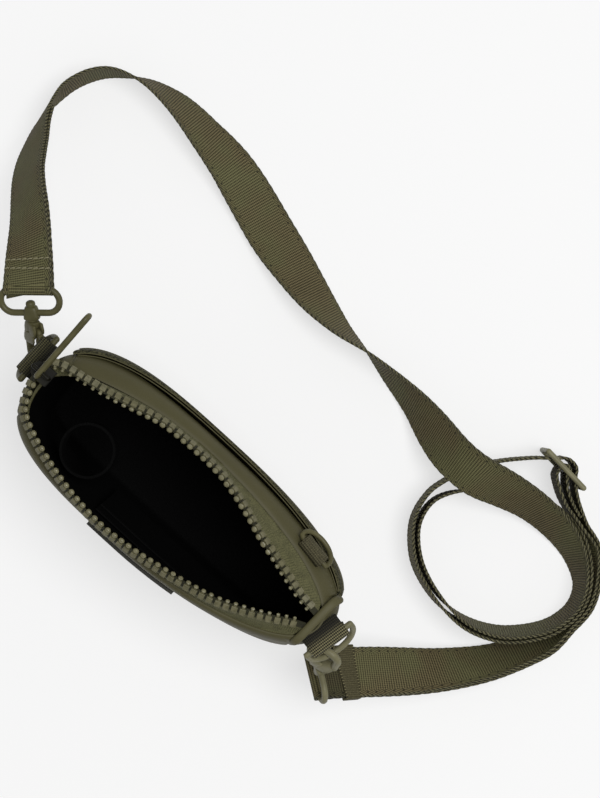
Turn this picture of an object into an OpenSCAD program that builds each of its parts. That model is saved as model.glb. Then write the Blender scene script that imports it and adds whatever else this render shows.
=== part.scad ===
// Zipped belt pouch that stands on its base, with a long webbing strap on two swivel hooks.
// X runs along the pouch, +Y is its back, +Z is up, and the origin is the middle of the base.

/* [Pouch] */
// Length of the pouch at its widest level
body_len = 182; // [160:1:210]
// Reach of the front panel from the middle line
body_front = 36; // [30:0.5:45]
// Reach of the back panel from the middle line
body_back = 33.2; // [28:0.2:42]
// Height of the sewn rim above the base
body_h = 100; // [85:1:120]
// Thickness of the padded wall
wall_t = 3; // [2:0.1:4]
// Thickness of the base panel
base_t = 3; // [2:0.1:5]
// Thickness of the black lining
lining_t = 0.6; // [0.4:0.1:1]

/* [Zip] */
// Height of the tooth rows above the sewn rim
zip_rise = 8; // [5:0.5:12]
// Distance from one tooth to the next
tooth_pitch = 4.07; // [3.6:0.01:4.6]
// Length of one tooth along its row
tooth_l = 2.7; // [2:0.1:3]
// Width of one tooth across its row
tooth_w = 4.7; // [4:0.1:5.4]
// Thickness of one tooth
tooth_t = 2.6; // [2:0.1:3]
// Thickness of the zip tape
tape_t = 0.8; // [0.6:0.1:1.2]
// Length of the slider
slider_l = 10.8; // [9:0.1:13]
// Width of the slider
slider_w = 8.4; // [7:0.1:9]
// Thickness of a slider plate
slider_t = 1.1; // [0.9:0.1:1.5]
// Straight length of the puller loop
puller_l = 33; // [20:1:45]
// Wire diameter of the puller loop
puller_d = 2.5; // [2:0.1:3]
// Width of the band sewn over the end of the zip
band_w = 6; // [4:0.5:9]
// Length of the band sewn over the end of the zip
band_l = 29; // [22:1:34]

/* [Pocket, patch and fittings inside] */
// Thickness of the back pocket's cloth
pocket_t = 1.5; // [1:0.1:2]
// Depth of the back pocket's open slit
pocket_gap = 2; // [1:0.1:4]
// Thickness of the blank patch
patch_t = 1.6; // [1:0.1:2.5]
// Thickness of a card slot's panel
slot_t = 0.8; // [0.5:0.1:1.2]
// Width of the elastic loop
elastic_w = 18; // [12:1:25]
// Outer diameter of the elastic loop
elastic_d = 27; // [20:1:32]
// Thickness of the elastic
elastic_t = 1.3; // [1:0.1:2]

/* [Tabs and D-rings] */
// Width of a strap tab
tab_w = 20; // [16:0.5:20.4]
// Thickness of the tab webbing
tab_t = 1.25; // [1:0.05:1.4]
// Wire diameter of a D-ring
d_wire = 3; // [2.5:0.1:3.4]
// Outer length of a D-ring along its straight bar
d_len = 28; // [27:0.5:30]
// Straight part of a D-ring's limbs
d_limb = 3; // [2:0.5:5]
// Wire diameter of the spare D-ring
spare_wire = 2.4; // [2:0.1:2.8]
// Outer length of the spare D-ring
spare_len = 21; // [19:0.5:24]
// Width of the spare ring's tab
spare_tab_w = 14; // [11:0.5:14.4]

/* [Hooks] */
// Outer length of a hook's strap ring
eye_len = 32; // [31.5:0.5:34]
// Outer width of a hook's strap ring
eye_w = 15.3; // [14.5:0.1:17]
// Wire diameter of the strap ring
eye_wire = 3.2; // [2.8:0.1:3.4]
// Thickness of a hook's flat body
hook_t = 4.8; // [4:0.1:5.4]
// Diameter of the hook's round spine and nose
hook_wire = 4; // [3.4:0.1:4.4]
// Diameter of the sprung gate
gate_wire = 3.2; // [2.6:0.1:3.6]
// Radius of the hook's bend
bend_r = 5.3; // [5.1:0.1:5.8]

/* [Strap] */
// Width of the strap webbing
strap_w = 25; // [24:0.5:25]
// Thickness of the strap webbing
strap_t = 1.4; // [1:0.1:1.5]
// Length of the keeper along the strap
keeper_l = 12.5; // [9:0.5:16]
// Thickness of the keeper
keeper_t = 1.2; // [0.8:0.1:1.6]
// Bar diameter of the adjuster
glide_d = 2.8; // [2.4:0.1:3]
// Distance between the adjuster's outer bars
glide_span = 25.2; // [25:0.1:28]

/* [Hidden] */
$fn = 48;
unit_z = [0, 0, 1];
play = 0.3;
touch = 0.05;
pin_play = 0.08;
half_turn = 180;
full_turn = 360;

// Body outline: height share and value, for the half-length, the reaches and the corner powers
len_shares = [[0, .92], [.03, .945], [.08, .955], [.35, .97], [.65, .99], [.88, 1], [.96, .99], [1, .96]];
back_shares = [[0, .6], [.03, .67], [.08, .71], [.35, .8], [.65, .95], [.88, 1], [.96, .97], [1, .86]];
front_shares = [[0, .56], [.03, .63], [.08, .66], [.35, .76], [.65, .93], [.88, 1], [.96, .985], [1, .95]];
corner_br_shares = [[0, 5], [.08, 5], [.35, 4.4], [.65, 3.2], [.88, 2.6], [.96, 2.3], [1, 2.05]];
corner_bl_shares = [[0, 5], [.08, 5], [.35, 4.4], [.65, 3.2], [.88, 2.7], [.96, 2.2], [1, 1.8]];
corner_fr_shares = [[0, 5], [.08, 5], [.35, 4.2], [.65, 2.8], [.88, 2], [.96, 1.95], [1, 1.9]];
corner_fl_shares = [[0, 5], [.08, 5], [.35, 4.6], [.65, 3.8], [.88, 3.4], [.96, 3.2], [1, 2.9]];
wall_shares = [0, .03, .08, .35, .65, .88, .96, 1];
split_share = 0.055;
seam_a = 25;

// Tooth rows: X and Y shares, height share of the rise, and the rim's angle below the tooth
back_row_shares = [
  [-.485, .241, 1, 167], [-.455, .322, 1, 159], [-.388, .395, 1, 145], [-.326, .467, 1, 133],
  [-.264, .557, 1, 123], [-.176, .684, 1, 109], [-.084, .717, 1, 95], [.01, .705, 1, 83],
  [.076, .639, 1, 76], [.1445, .536, 1, 68], [.207, .422, .95, 61], [.269, .337, .8, 53],
  [.321, .256, .55, 45], [.373, .181, .35, 36], [.44, .127, .22, 21]];
front_row_shares = [
  [-.491, -.085, 1, -179], [-.487, -.158, 1, -176], [-.475, -.325, 1, -168], [-.453, -.478, 1, -157],
  [-.407, -.594, 1, -142], [-.345, -.703, 1, -127], [-.2385, -.831, 1, -108], [-.127, -.889, 1, -94],
  [-.028, -.861, 1, -87], [.057, -.792, 1, -77], [.14, -.708, 1, -67], [.218, -.608, 1, -58],
  [.288, -.464, .95, -48], [.354, -.294, .8, -38], [.401, -.156, .5, -30], [.44, -.067, .22, -20]];

// Places of the D-ring bars and how far each ring leans out
left_out = 4.7;
left_side = 4.8;
left_drop = 7;
right_out = 2.4;
right_side = -1;
right_drop = 6;
spare_x_share = .329;
spare_y_share = .762;
spare_drop = .1;
left_bar = [-body_len / 2 - left_out, left_side, body_h - left_drop];
right_bar = [body_len / 2 + right_out, right_side, body_h - right_drop];
spare_bar = [body_len * spare_x_share, body_back * spare_y_share, body_h - spare_drop];
left_turn = half_turn;
right_turn = -11.5;
spare_turn = 81;
left_lean = 22;
right_lean = 30;
spare_lean = 46;
d_r = (d_len - d_wire) / 2;
spare_r = (spare_len - spare_wire) / 2;
tail_l = 10;

// Hook placing: yaw, pitch, roll of the hook, roll of its strap ring, and the ring's touch on the D-ring
left_aim = [-43.7, 24, 58, 12];
right_aim = [108.2, -63.9, -12, 125];
left_touch = 6;
right_touch = -25;
left_reach = [19.2, -1];
right_reach = [20.9, 0];
bend_x = 20.1;
bend_y = -.3;
pivot_x = 8.6;
pivot_y = 4.3;
slot_half = 1.25;
gate_half = 1.05;
pin_r = 1.5;
head_r = 2.4;
gate_pin_r = 0.9;
eye_r = (eye_w - eye_wire) / 2;
eye_corner = 3.6;
eye_half = (eye_len - eye_wire) / 2;

// Strap: the layout length scales the route tables, whose rows are X, Y, lift above lying, lean
layout_len = 182;
layout_h = 100;
layer_share = 1.28;
pitch = strap_t * layer_share;
glide_at = [129.4, 136.7];
glide_turn = -4.2;
run_route = [
  [-134.5, 38.5, 79, -61], [-147.5, 50.5, 64.5, -46], [-162, 62, 44.5, -38], [-174.5, 75.5, 23, -23],
  [-184, 91.5, 7, -9], [-186, 105.5, .5, 6], [-184, 116.5, 0, 11], [-178.5, 127, 0, 13],
  [-170, 134.5, 0, 7], [-156, 140.5, 0, -12], [-137, 142.5, 0, -31], [-117.5, 140.5, 0, -45],
  [-98, 137.5, 0, -62], [-78.5, 132, 0, -76], [-59.5, 126, 0, -79], [-40, 121, 0, -62],
  [-20.5, 116.5, 0, -43], [-1, 114, 0, -21], [18.5, 114, 0, 0], [35, 112.5, 0, 16],
  [51, 110.5, 3.5, 28], [66.5, 107, 12, 42], [82.5, 104, 23.5, 53], [98, 104.5, 26.5, 57],
  [115, 109, 15.5, 46], [132, 112.5, 7, 38], [149, 112.5, 2.5, 32], [164, 108.5, 0, 22],
  [175, 100.5, 0, 10], [180, 91, 0, 7]];
turn_route = [
  [180, 81, 0, 7], [175.5, 69.5, 0, 8], [163, 55.5, 0, 8], [146, 47.5, 0, 4],
  [127.5, 47, 0, -3], [108, 53.5, 0, -4], [94.5, 66.5, 0, -2], [92, 81.5, 0, 0],
  [99.5, 94.5, 0, 2], [111.5, 105, 0, 14], [125, 112, 0, 28]];
turn_shares = [1, 1, 1, 1, 1, 1.1, 1.3, 1.5, 1.6, 1.7, 1.7];
exit_route = [
  [87.5, 79, 0, 0], [88.5, 89.5, 0, 0], [93.5, 103, 0, 0], [101.5, 116, 0, 0],
  [110.5, 126.5, 1.5, 0], [117, 133, 3, 0]];
glide_path = [[-7.3, 0], [-3.8, 4.3], [0, 5.3], [3.8, 4.3], [7.2, 0]];
outer_route = [[141.5, 132, 2.5, 0], [148, 127.5, 1.5, 2], [155.5, 123.5, .5, 4]];
outer_shares = [4.2, 3.5, 3.2, 3.2];
lower_route = [
  [184, 68.5, 0, 17], [180, 58.5, 0, 23], [168, 38.5, 2.5, 34], [149.5, 18, 12, 48],
  [128.5, 0, 26.5, 66], [114.5, -11.5, 38, 69]];
sewn_route = [[150.5, 123.9, .5, -2.5], [145, 126.1, 1, -1], [140, 128.5, 2, 0], [135.5, 131.3, 3, 0]];
leg_route = [
  [128, 132, 3, 0], [134, 127.6, 3, 0], [141, 124.3, 1.5, 0], [148.5, 122.3, .5, 1.5], [156, 120.3, 0, 4]];
doubled_n = 5;

// General helpers
function unit(v) = v / norm(v);
function mix(a, b, t) = a + (b - a) * t;
function sign_of(v) = v < 0 ? -1 : 1;
function flat_left(t) = unit([-t[1], t[0], 0]);
function across(t, w) = unit(w - (w * t) * t);
function heading(p, i) = unit(p[min(i + 1, len(p) - 1)] - p[max(i - 1, 0)]);
function spline_at(a, b, c, d, t) =
  (2 * b + (c - a) * t + (2 * a - 5 * b + 4 * c - d) * t * t + (3 * b - a - 3 * c + d) * t * t * t) / 2;
function spline(p, k) = concat(
  [for (i = [0:len(p) - 2]) for (j = [0:k - 1])
    spline_at(p[max(i - 1, 0)], p[i], p[i + 1], p[min(i + 2, len(p) - 1)], j / k)],
  [p[len(p) - 1]]);
function part_of(p, a, b) = [for (i = [a:b]) p[i]];
function backwards(p) = [for (i = [len(p) - 1:-1:0]) p[i]];

// One closed skin through rings of points; each ring turns right-handed about its travel
module skin(rings, closed = false) {
  m = len(rings[0]);
  n = len(rings);
  last = closed ? n - 1 : n - 2;
  sides = [for (i = [0:last]) for (j = [0:m - 1])
    let (k = (j + 1) % m, o = ((i + 1) % n) * m, a = i * m + j, b = i * m + k, c = o + k, d = o + j)
      each j < m / 2 ? [[a, c, b], [a, d, c]] : [[a, d, b], [d, c, b]]];
  caps = closed ? [] : [for (k = [0:m / 2 - 2])
    let (e = (n - 1) * m)
      each [[k, k + 1, m - 2 - k], [k, m - 2 - k, m - 1 - k],
        [e + k, e + m - 2 - k, e + k + 1], [e + k, e + m - 1 - k, e + m - 2 - k]]];
  polyhedron(points = [for (r = rings) each r], faces = concat(sides, caps), convexity = 8);
}

// A point of the pouch's outline at height share z and angle a, moved out by off
function corner(z, c, s) = s >= 0
  ? lookup(z, c >= 0 ? corner_br_shares : corner_bl_shares)
  : lookup(z, c >= 0 ? corner_fr_shares : corner_fl_shares);
function body_pt(z, a, off) =
  let (c = cos(a), s = sin(a), p = corner(z, c, s),
    half = body_len * (0.5 + sign_of(c) * split_share) * lookup(z, len_shares) + off,
    reach = (s >= 0 ? body_back * lookup(z, back_shares) : body_front * lookup(z, front_shares)) + off)
  [sign_of(c) * half * pow(abs(c), 2 / p) - body_len * split_share,
    sign_of(s) * reach * pow(abs(s), 2 / p), z * body_h];

// A point of the front or back wall at height share z and a given X
function wall_pt(z, x, front, off) =
  let (right = x > -body_len * split_share,
    half = body_len * (0.5 + (right ? split_share : -split_share)) * lookup(z, len_shares) + off,
    reach = (front ? body_front * lookup(z, front_shares) : body_back * lookup(z, back_shares)) + off,
    p = corner(z, right ? 1 : -1, front ? -1 : 1))
  [x, (front ? -1 : 1) * reach * pow(1 - pow(abs(x + body_len * split_share) / half, p), 1 / p), z * body_h];
// A patch with upright sides on the front wall, from a to b in X
module front_piece(a, b, n, zs, inner, outer) {
  skin([for (i = [0:n]) let (x = mix(a, b, i / n)) concat(
    [for (z = zs) wall_pt(z, x, true, inner)],
    [for (z = backwards(zs)) wall_pt(z, x, true, outer)])]);
}

// A curved panel between two offsets, swept from angle a to angle b over the height shares in zs
module panel(a, b, n, zs, inner, outer) {
  skin([for (i = [0:n]) let (t = mix(a, b, i / n)) concat(
    [for (z = zs) body_pt(z, t, inner)],
    [for (z = backwards(zs)) body_pt(z, t, outer)])]);
}

module base_panel() {
  color("#3f3d2c") linear_extrude(base_t)
    polygon([for (i = [0:71]) let (p = body_pt(0, i * full_turn / 72, -wall_t - touch)) [p[0], p[1]]]);
}
module front_panel() {
  color("#54523a") panel(half_turn + seam_a, full_turn - seam_a, 26, wall_shares, -wall_t, 0);
}
module back_panel() {
  color("#54523a") panel(seam_a, half_turn - seam_a, 26, wall_shares, -wall_t, 0);
}
module end_gusset_left() {
  color("#4d4b35") panel(half_turn - seam_a, half_turn + seam_a, 12, wall_shares, -wall_t, 0);
}
module end_gusset_right() {
  color("#4d4b35") panel(-seam_a, seam_a, 12, wall_shares, -wall_t, 0);
}
lining_shares = [.04, .08, .35, .65, .88, .97];
module lining() {
  color("#0d0d0d") skin([for (i = [0:47]) let (t = i * full_turn / 48) concat(
    [for (z = lining_shares) body_pt(z, t, -wall_t - play - lining_t)],
    [for (z = backwards(lining_shares)) body_pt(z, t, -wall_t - play)])], closed = true);
}

// Tooth rows: points on the row, the outward direction and the rim point below
function row_in_mm(row, reach) = [for (r = row)
  [r[0] * body_len, r[1] * reach, body_h + r[2] * zip_rise, r[3]]];
function xyz(v) = [v[0], v[1], v[2]];
function lengths(p) = [for (i = 0, s = 0; i < len(p);
  s = i < len(p) - 1 ? s + norm(xyz(p[i + 1]) - xyz(p[i])) : s, i = i + 1) s];
function at_length(p, ls, s) =
  let (i = min(max([for (k = [0:len(p) - 2]) if (ls[k] <= s) k]), len(p) - 2))
  mix(p[i], p[i + 1], (s - ls[i]) / (ls[i + 1] - ls[i]));
back_line = spline(row_in_mm(back_row_shares, body_back), 4);
front_line = spline(row_in_mm(front_row_shares, body_front), 4);
tooth_fall = 0.25;
rim_inset = 0.8;
function row_points(line) = [for (p = line) xyz(p)];
function tooth_out(t, side) = across(t, unit(side * flat_left(t) - tooth_fall * unit_z));
tooth_edge = 0.15;
// The row on the back runs left to right, so its outside is the left of its travel
module teeth(line, side) {
  ls = lengths(line);
  total = ls[len(ls) - 1];
  n = floor(total / tooth_pitch) - 1;
  half = tooth_l / 2;
  marks = [for (i = [0:n]) let (s = tooth_pitch * (i + 0.5))
    each [[s - half - tooth_edge, 4], [s - half, 2], [s + half, 2], [s + half + tooth_edge, 4]]];
  skin([for (m = marks)
    let (c = xyz(at_length(line, ls, m[0])), t = unit(xyz(at_length(line, ls, m[0] + tooth_edge)) - c),
      out = tooth_out(t, side), w = out * tooth_w / m[1], h = cross(t, out) * tooth_t / m[1])
    [c - w - h, c + w - h, c + w + h, c - w + h]]);
}
module tape(line, side, n) {
  ls = lengths(line);
  total = ls[len(ls) - 1];
  rows = [for (i = [0:n])
    let (s = (total - tooth_edge) * i / n, q = at_length(line, ls, s),
      t = unit(xyz(at_length(line, ls, s + tooth_edge)) - xyz(q)),
      top = xyz(q) + (tooth_w / 2 + tape_t / 2 + 2 * play) * tooth_out(t, side),
      foot = body_pt(1, q[3], -rim_inset) + (tape_t / 2 + touch) * unit_z, up = across(t, unit(top - foot)))
    [foot, top, unit(cross(t, up)) * tape_t / 2]];
  skin([for (r = rows) [r[0] - r[2], r[0] + r[2], r[1] + r[2], r[1] - r[2]]]);
}
module zip_tape_front() {
  color("#4a4833") tape(front_line, -1, 44);
}
module zip_tape_back() {
  color("#4a4833") tape(back_line, 1, 40);
}
module zip_teeth_front() {
  color("#5b5941") teeth(front_line, -1);
}
module zip_teeth_back() {
  color("#5b5941") teeth(back_line, 1);
}
band_t = 1.4;
band_x_share = .4515;
band_y_share = .11;
band_z_share = .22;
band_turn = -6;
band_z = body_h + zip_rise * band_z_share + tooth_t / 2 + play;
module zip_end_band() {
  color("#54523a") translate([body_len * band_x_share, body_front * band_y_share, band_z])
    rotate([0, 0, band_turn])
      translate([-band_w / 2, -band_l / 2, 0])
        cube([band_w, band_l, band_t]);
}

// Slider and puller
slider_x_share = -.4885;
slider_y = 2.4;
slider_at = [body_len * slider_x_share, slider_y, body_h + zip_rise];
post_share = 0.4;
bridge_r = 1.1;
puller_r = bridge_r + puller_d / 2 + play;
bridge_z = tooth_t / 2 + play + slider_t + puller_r + puller_d / 2 + play;
puller_rise = 15;
module zip_slider() {
  color("#4b4a35") translate(slider_at) {
    for (z = [tooth_t / 2 + play, -tooth_t / 2 - play - slider_t])
      translate([0, 0, z]) linear_extrude(slider_t) {
        translate([-slider_l / 2 + slider_w / 2, 0]) circle(d = slider_w);
        translate([-slider_l / 2 + slider_w / 2, -slider_w / 2]) square([slider_l - slider_w / 2, slider_w]);
      }
    gap = tooth_t / 2 + play;
    post_x = slider_l * post_share;
    translate([slider_l / 4, 0, -gap - touch]) cylinder(r = bridge_r, h = 2 * (gap + touch));
    for (x = [-post_x, post_x])
      translate([x, 0, gap]) cylinder(r = bridge_r, h = bridge_z - gap);
    translate([-post_x, 0, bridge_z]) rotate([0, 90, 0]) cylinder(r = bridge_r, h = 2 * post_x);
    for (x = [-post_x, post_x])
      translate([x, 0, bridge_z]) sphere(r = bridge_r);
  }
}
// A flat closed loop of wire in the XY plane, its first bend about the origin
module wire_loop(len_x, r, wire) {
  for (e = [[0, 90], [len_x, -90]])
    translate([e[0], 0, 0]) rotate([0, 0, e[1]]) rotate_extrude(angle = half_turn)
      translate([r, 0]) circle(d = wire);
  for (y = [-r, r])
    translate([0, y, 0]) rotate([0, 90, 0]) cylinder(d = wire, h = len_x);
}
module zip_puller() {
  color("#57553d") translate(slider_at + [0, 0, bridge_z]) rotate([puller_rise, 0, 0])
    rotate([0, 0, 90]) rotate([90, 0, 0]) wire_loop(puller_l, puller_r, puller_d);
}

// Back pocket, its hem and the blank patch on the front
pocket_shares = [.08, .35, .65, .8];
hem_shares = [.8, .88, .9];
hem_extra = 0.3;
slack_power = 0.6;
function rise_share(z) = (z - pocket_shares[0]) / (hem_shares[2] - pocket_shares[0]);
function slack(z, i, n) = touch + pocket_gap * pow(sin(half_turn * i / n), slack_power) * rise_share(z);
module pocket_piece(zs, extra) {
  n = 26;
  skin([for (i = [0:n]) let (t = mix(seam_a, half_turn - seam_a, i / n)) concat(
    [for (z = zs) body_pt(z, t, slack(z, i, n))],
    [for (z = backwards(zs)) body_pt(z, t, slack(z, i, n) + pocket_t + extra)])]);
}
module back_pocket() {
  color("#4f4d37") pocket_piece(pocket_shares, 0);
}
module back_pocket_hem() {
  color("#57553d") pocket_piece(hem_shares, hem_extra);
}
patch_x_shares = [-.15, .136];
patch_z_shares = [.52, .65, .88];
module front_patch() {
  x = patch_x_shares * body_len;
  color("#5a583f") front_piece(x[0], x[1], 8, patch_z_shares, play, play + patch_t);
}

// Card slots on the front lining, and the elastic loop beside them
slot_in = wall_t + lining_t + 2.5 * play;
slot_x_shares = [-.16, .34];
slot_x = slot_x_shares * body_len;
upper_z_shares = [.45, .65, .8];
lower_z_shares = [.32, .65, .7];
module card_slot(zs, layer) {
  inset = slot_in + layer * (slot_t + play);
  front_piece(slot_x[0], slot_x[1], 12, zs, -inset - slot_t, -inset);
}
module card_slot_upper() {
  color("#141414") card_slot(upper_z_shares, 0);
}
module card_slot_lower() {
  color("#181818") card_slot(lower_z_shares, 1);
}
elastic_x_share = -.28;
elastic_z_share = .65;
elastic_gap = 1.5;
elastic_in = slot_in + elastic_gap + elastic_d / 2;
elastic_at = wall_pt(elastic_z_share, elastic_x_share * body_len, true, -elastic_in);
module elastic_loop() {
  color("#1b1b1b") translate([elastic_at[0], elastic_at[1], elastic_at[2] - elastic_w / 2])
    difference() {
      cylinder(d = elastic_d, h = elastic_w);
      translate([0, 0, -elastic_t]) cylinder(d = elastic_d - 2 * elastic_t, h = elastic_w + 2 * elastic_t);
    }
}

// Tabs: webbing folded over a D-ring's bar and sewn down the wall, in the bar's own frame
module tab(width, wire, back, tail) {
  outer = wire / 2 + play + tab_t;
  rotate([90, 0, 0]) translate([0, 0, -width / 2]) linear_extrude(width)
    difference() {
      union() {
        circle(r = outer);
        hull() {
          translate([-back + tab_t, 0]) circle(r = tab_t);
          translate([-back + tab_t, -outer]) circle(r = tab_t);
          circle(r = outer - tab_t);
        }
        translate([-back, -tail]) square([2 * tab_t, tail]);
      }
      circle(r = wire / 2 + play);
    }
}
// D-ring hanging from its bar: the bar lies on Y, the bend is below
module d_ring(r, wire, limb) {
  rotate([90, 0, 0]) translate([0, 0, -r]) cylinder(d = wire, h = 2 * r);
  for (y = [-r, r])
    translate([0, y, -limb]) cylinder(d = wire, h = limb);
  for (y = [-r, r])
    translate([0, y, 0]) sphere(d = wire);
  translate([0, 0, -limb]) rotate([0, 90, 0]) rotate([0, 0, -90])
    rotate_extrude(angle = half_turn) translate([r, 0]) circle(d = wire);
}
module tab_left() {
  color("#4c4a33") translate(left_bar) rotate([0, 0, left_turn])
    tab(tab_w, d_wire, left_out - 3 * touch, tail_l);
}
module tab_right() {
  color("#4c4a33") translate(right_bar) rotate([0, 0, right_turn])
    tab(tab_w, d_wire, right_out - 3 * touch, tail_l);
}
spare_tail = 6;
spare_tab_pitch = 244;
module tab_spare() {
  color("#4c4a33") translate(spare_bar) rotate([0, 0, spare_turn]) rotate([0, spare_tab_pitch, 0])
    tab(spare_tab_w, spare_wire, spare_wire / 2 + tab_t + play, spare_tail);
}
module d_ring_left() {
  color("#5b5941") translate(left_bar) rotate([0, -left_lean, left_turn]) d_ring(d_r, d_wire, d_limb);
}
module d_ring_right() {
  color("#5b5941") translate(right_bar) rotate([0, -right_lean, right_turn]) d_ring(d_r, d_wire, d_limb);
}
module d_ring_spare() {
  color("#5b5941") translate(spare_bar) rotate([0, -spare_lean, spare_turn])
    d_ring(spare_r, spare_wire, d_limb);
}

// Directions of a hook: along its shank, across its flat and out of its flat
function shank_dir(aim) = [cos(aim[1]) * cos(aim[0]), cos(aim[1]) * sin(aim[0]), -sin(aim[1])];
function cross_dir(aim, roll) =
  let (cr = cos(roll), sr = sin(roll), cp = cos(aim[1]), sp = sin(aim[1]), cy = cos(aim[0]),
    sy = sin(aim[0]))
  [sr * sp * cy - cr * sy, sr * sp * sy + cr * cy, sr * cp];
function ring_point(bar, turn, lean, phi) =
  let (out = [cos(turn), sin(turn), 0], along = [-sin(turn), cos(turn), 0] * (cos(turn) < 0 ? -1 : 1),
    down = sin(lean) * out - cos(lean) * unit_z)
  bar + d_limb * down + d_r * (cos(phi) * down + sin(phi) * along);
function boss_point(bar, turn, lean, phi, aim, reach) = ring_point(bar, turn, lean, phi)
  - reach[0] * shank_dir(aim) - reach[1] * cross_dir(aim, aim[2]);
left_boss = boss_point(left_bar, left_turn, left_lean, left_touch, left_aim, left_reach);
right_boss = boss_point(right_bar, right_turn, right_lean, right_touch, right_aim, right_reach);
left_eye_bar = left_boss - 2 * eye_r * shank_dir(left_aim);
right_eye_bar = right_boss - 2 * eye_r * shank_dir(right_aim);

module at_hook(boss, aim, roll) {
  translate(boss) rotate([roll, aim[1], aim[0]]) children();
}
boss_l = 6.4;
boss_w = 9;
boss_t = 5.6;
boss_end_share = 0.8;
head_t = 1.6;
// The strap ring lies in XY: its near bar crosses the origin, its far bar holds the strap
module hook_eye() {
  corner_x = eye_r - eye_corner;
  corner_y = eye_half - eye_corner;
  difference() {
    union() {
      for (q = [[1, 1, 0], [-1, 1, 90], [-1, -1, 180], [1, -1, 270]])
        translate([q[0] * corner_x - eye_r, q[1] * corner_y, 0]) rotate([0, 0, q[2]])
          rotate_extrude(angle = 90) translate([eye_corner, 0]) circle(d = eye_wire);
      for (x = [0, -2 * eye_r])
        translate([x, corner_y, 0]) rotate([90, 0, 0]) cylinder(d = eye_wire, h = 2 * corner_y);
      for (y = [-eye_half, eye_half])
        translate([-eye_r - corner_x, y, 0]) rotate([0, 90, 0]) cylinder(d = eye_wire, h = 2 * corner_x);
      translate([-boss_l / 2, 0, 0]) rotate([0, 90, 0]) rotate([0, 0, 90])
        linear_extrude(boss_l, scale = boss_end_share) square([boss_w, boss_t], center = true);
    }
    translate([-boss_l, 0, 0]) rotate([0, 90, 0]) cylinder(r = pin_r + pin_play, h = 2 * boss_l);
  }
}
body_start = boss_l / 2 + play;
collar_l = 3;
pin_end = 1;
plate_shares = [
  [.259, -.415], [.259, .415], [.328, 1.17], [.507, 1.283], [.557, 1.057], [.557, .189], [.517, -.264]];
cheek_x = plate_shares[5][0] * bend_x;
spine_y = bend_y - bend_r;
spine_from = 8;
spine_to = 11.8;
slot_from = [5.8, 1.2];
nose_l = 1.6;
cap_r = 1.7;
cap_t = 0.8;
// The hook's shank runs along +X from the ring, its spine is on -Y and its gate on +Y
module hook_body() {
  head_x = -boss_l / 2 - play;
  translate([head_x - head_t, 0, 0]) rotate([0, 90, 0]) cylinder(r = head_r, h = head_t);
  translate([head_x - touch, 0, 0]) rotate([0, 90, 0])
    cylinder(r = pin_r, h = body_start - head_x + pin_end);
  translate([body_start, 0, 0]) rotate([0, 90, 0]) cylinder(d = hook_t, h = collar_l);
  difference() {
    translate([0, 0, -hook_t / 2]) linear_extrude(hook_t) polygon(concat(
      [for (q = plate_shares) [q[0] * bend_x, q[1] * bend_r]],
      [[spine_to, spine_y + hook_wire / 2], [spine_to, spine_y - hook_wire / 2],
        [spine_from, spine_y - hook_wire / 2]]));
    translate([slot_from[0], slot_from[1], -slot_half]) cube([cheek_x, 2 * cheek_x, 2 * slot_half]);
  }
  translate([(spine_from + spine_to) / 2, spine_y, 0]) rotate([0, 90, 0])
    cylinder(d = hook_wire, h = bend_x - (spine_from + spine_to) / 2);
  translate([bend_x, bend_y, 0]) rotate([0, 0, -90]) rotate_extrude(angle = half_turn)
    translate([bend_r, 0]) circle(d = hook_wire);
  translate([bend_x - nose_l, bend_y + bend_r, 0]) rotate([0, 90, 0]) cylinder(d = hook_wire, h = nose_l);
  translate([pivot_x, pivot_y, -hook_t / 2 - cap_t]) cylinder(r = gate_pin_r, h = hook_t + 2 * cap_t);
  for (z = [-hook_t / 2 - cap_t, hook_t / 2])
    translate([pivot_x, pivot_y, z]) cylinder(r = cap_r, h = cap_t);
}
gate_tip = bend_x - nose_l - play;
gate_hub_r = 2.1;
gate_foot = 1.4;
gate_tall = 3.2;
gate_past = 1.6;
thumb_x = 0.6;
thumb_l = 2.2;
thumb_h = 4.2;
module hook_gate() {
  difference() {
    union() {
      translate([pivot_x, pivot_y, -gate_half]) cylinder(r = gate_hub_r, h = 2 * gate_half);
      translate([pivot_x, pivot_y - gate_foot, -gate_half])
        cube([cheek_x + gate_past - pivot_x, gate_tall, 2 * gate_half]);
      translate([pivot_x + thumb_x, pivot_y, -gate_half]) cube([thumb_l, thumb_h, 2 * gate_half]);
    }
    translate([pivot_x, pivot_y, -2 * gate_half]) cylinder(r = gate_pin_r + pin_play, h = 4 * gate_half);
  }
  translate([cheek_x + gate_past / 2, bend_y + bend_r, 0]) rotate([0, 90, 0])
    cylinder(d = gate_wire, h = gate_tip - cheek_x - gate_past / 2);
}
module hook_eye_left() {
  color("#5e5c44") at_hook(left_boss, left_aim, left_aim[3]) hook_eye();
}
module hook_eye_right() {
  color("#5e5c44") at_hook(right_boss, right_aim, right_aim[3]) hook_eye();
}
module hook_body_left() {
  color("#5b5941") at_hook(left_boss, left_aim, left_aim[2]) hook_body();
}
module hook_body_right() {
  color("#5b5941") at_hook(right_boss, right_aim, right_aim[2]) hook_body();
}
module hook_gate_left() {
  color("#65634a") at_hook(left_boss, left_aim, left_aim[2]) hook_gate();
}
module hook_gate_right() {
  color("#65634a") at_hook(right_boss, right_aim, right_aim[2]) hook_gate();
}

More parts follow.
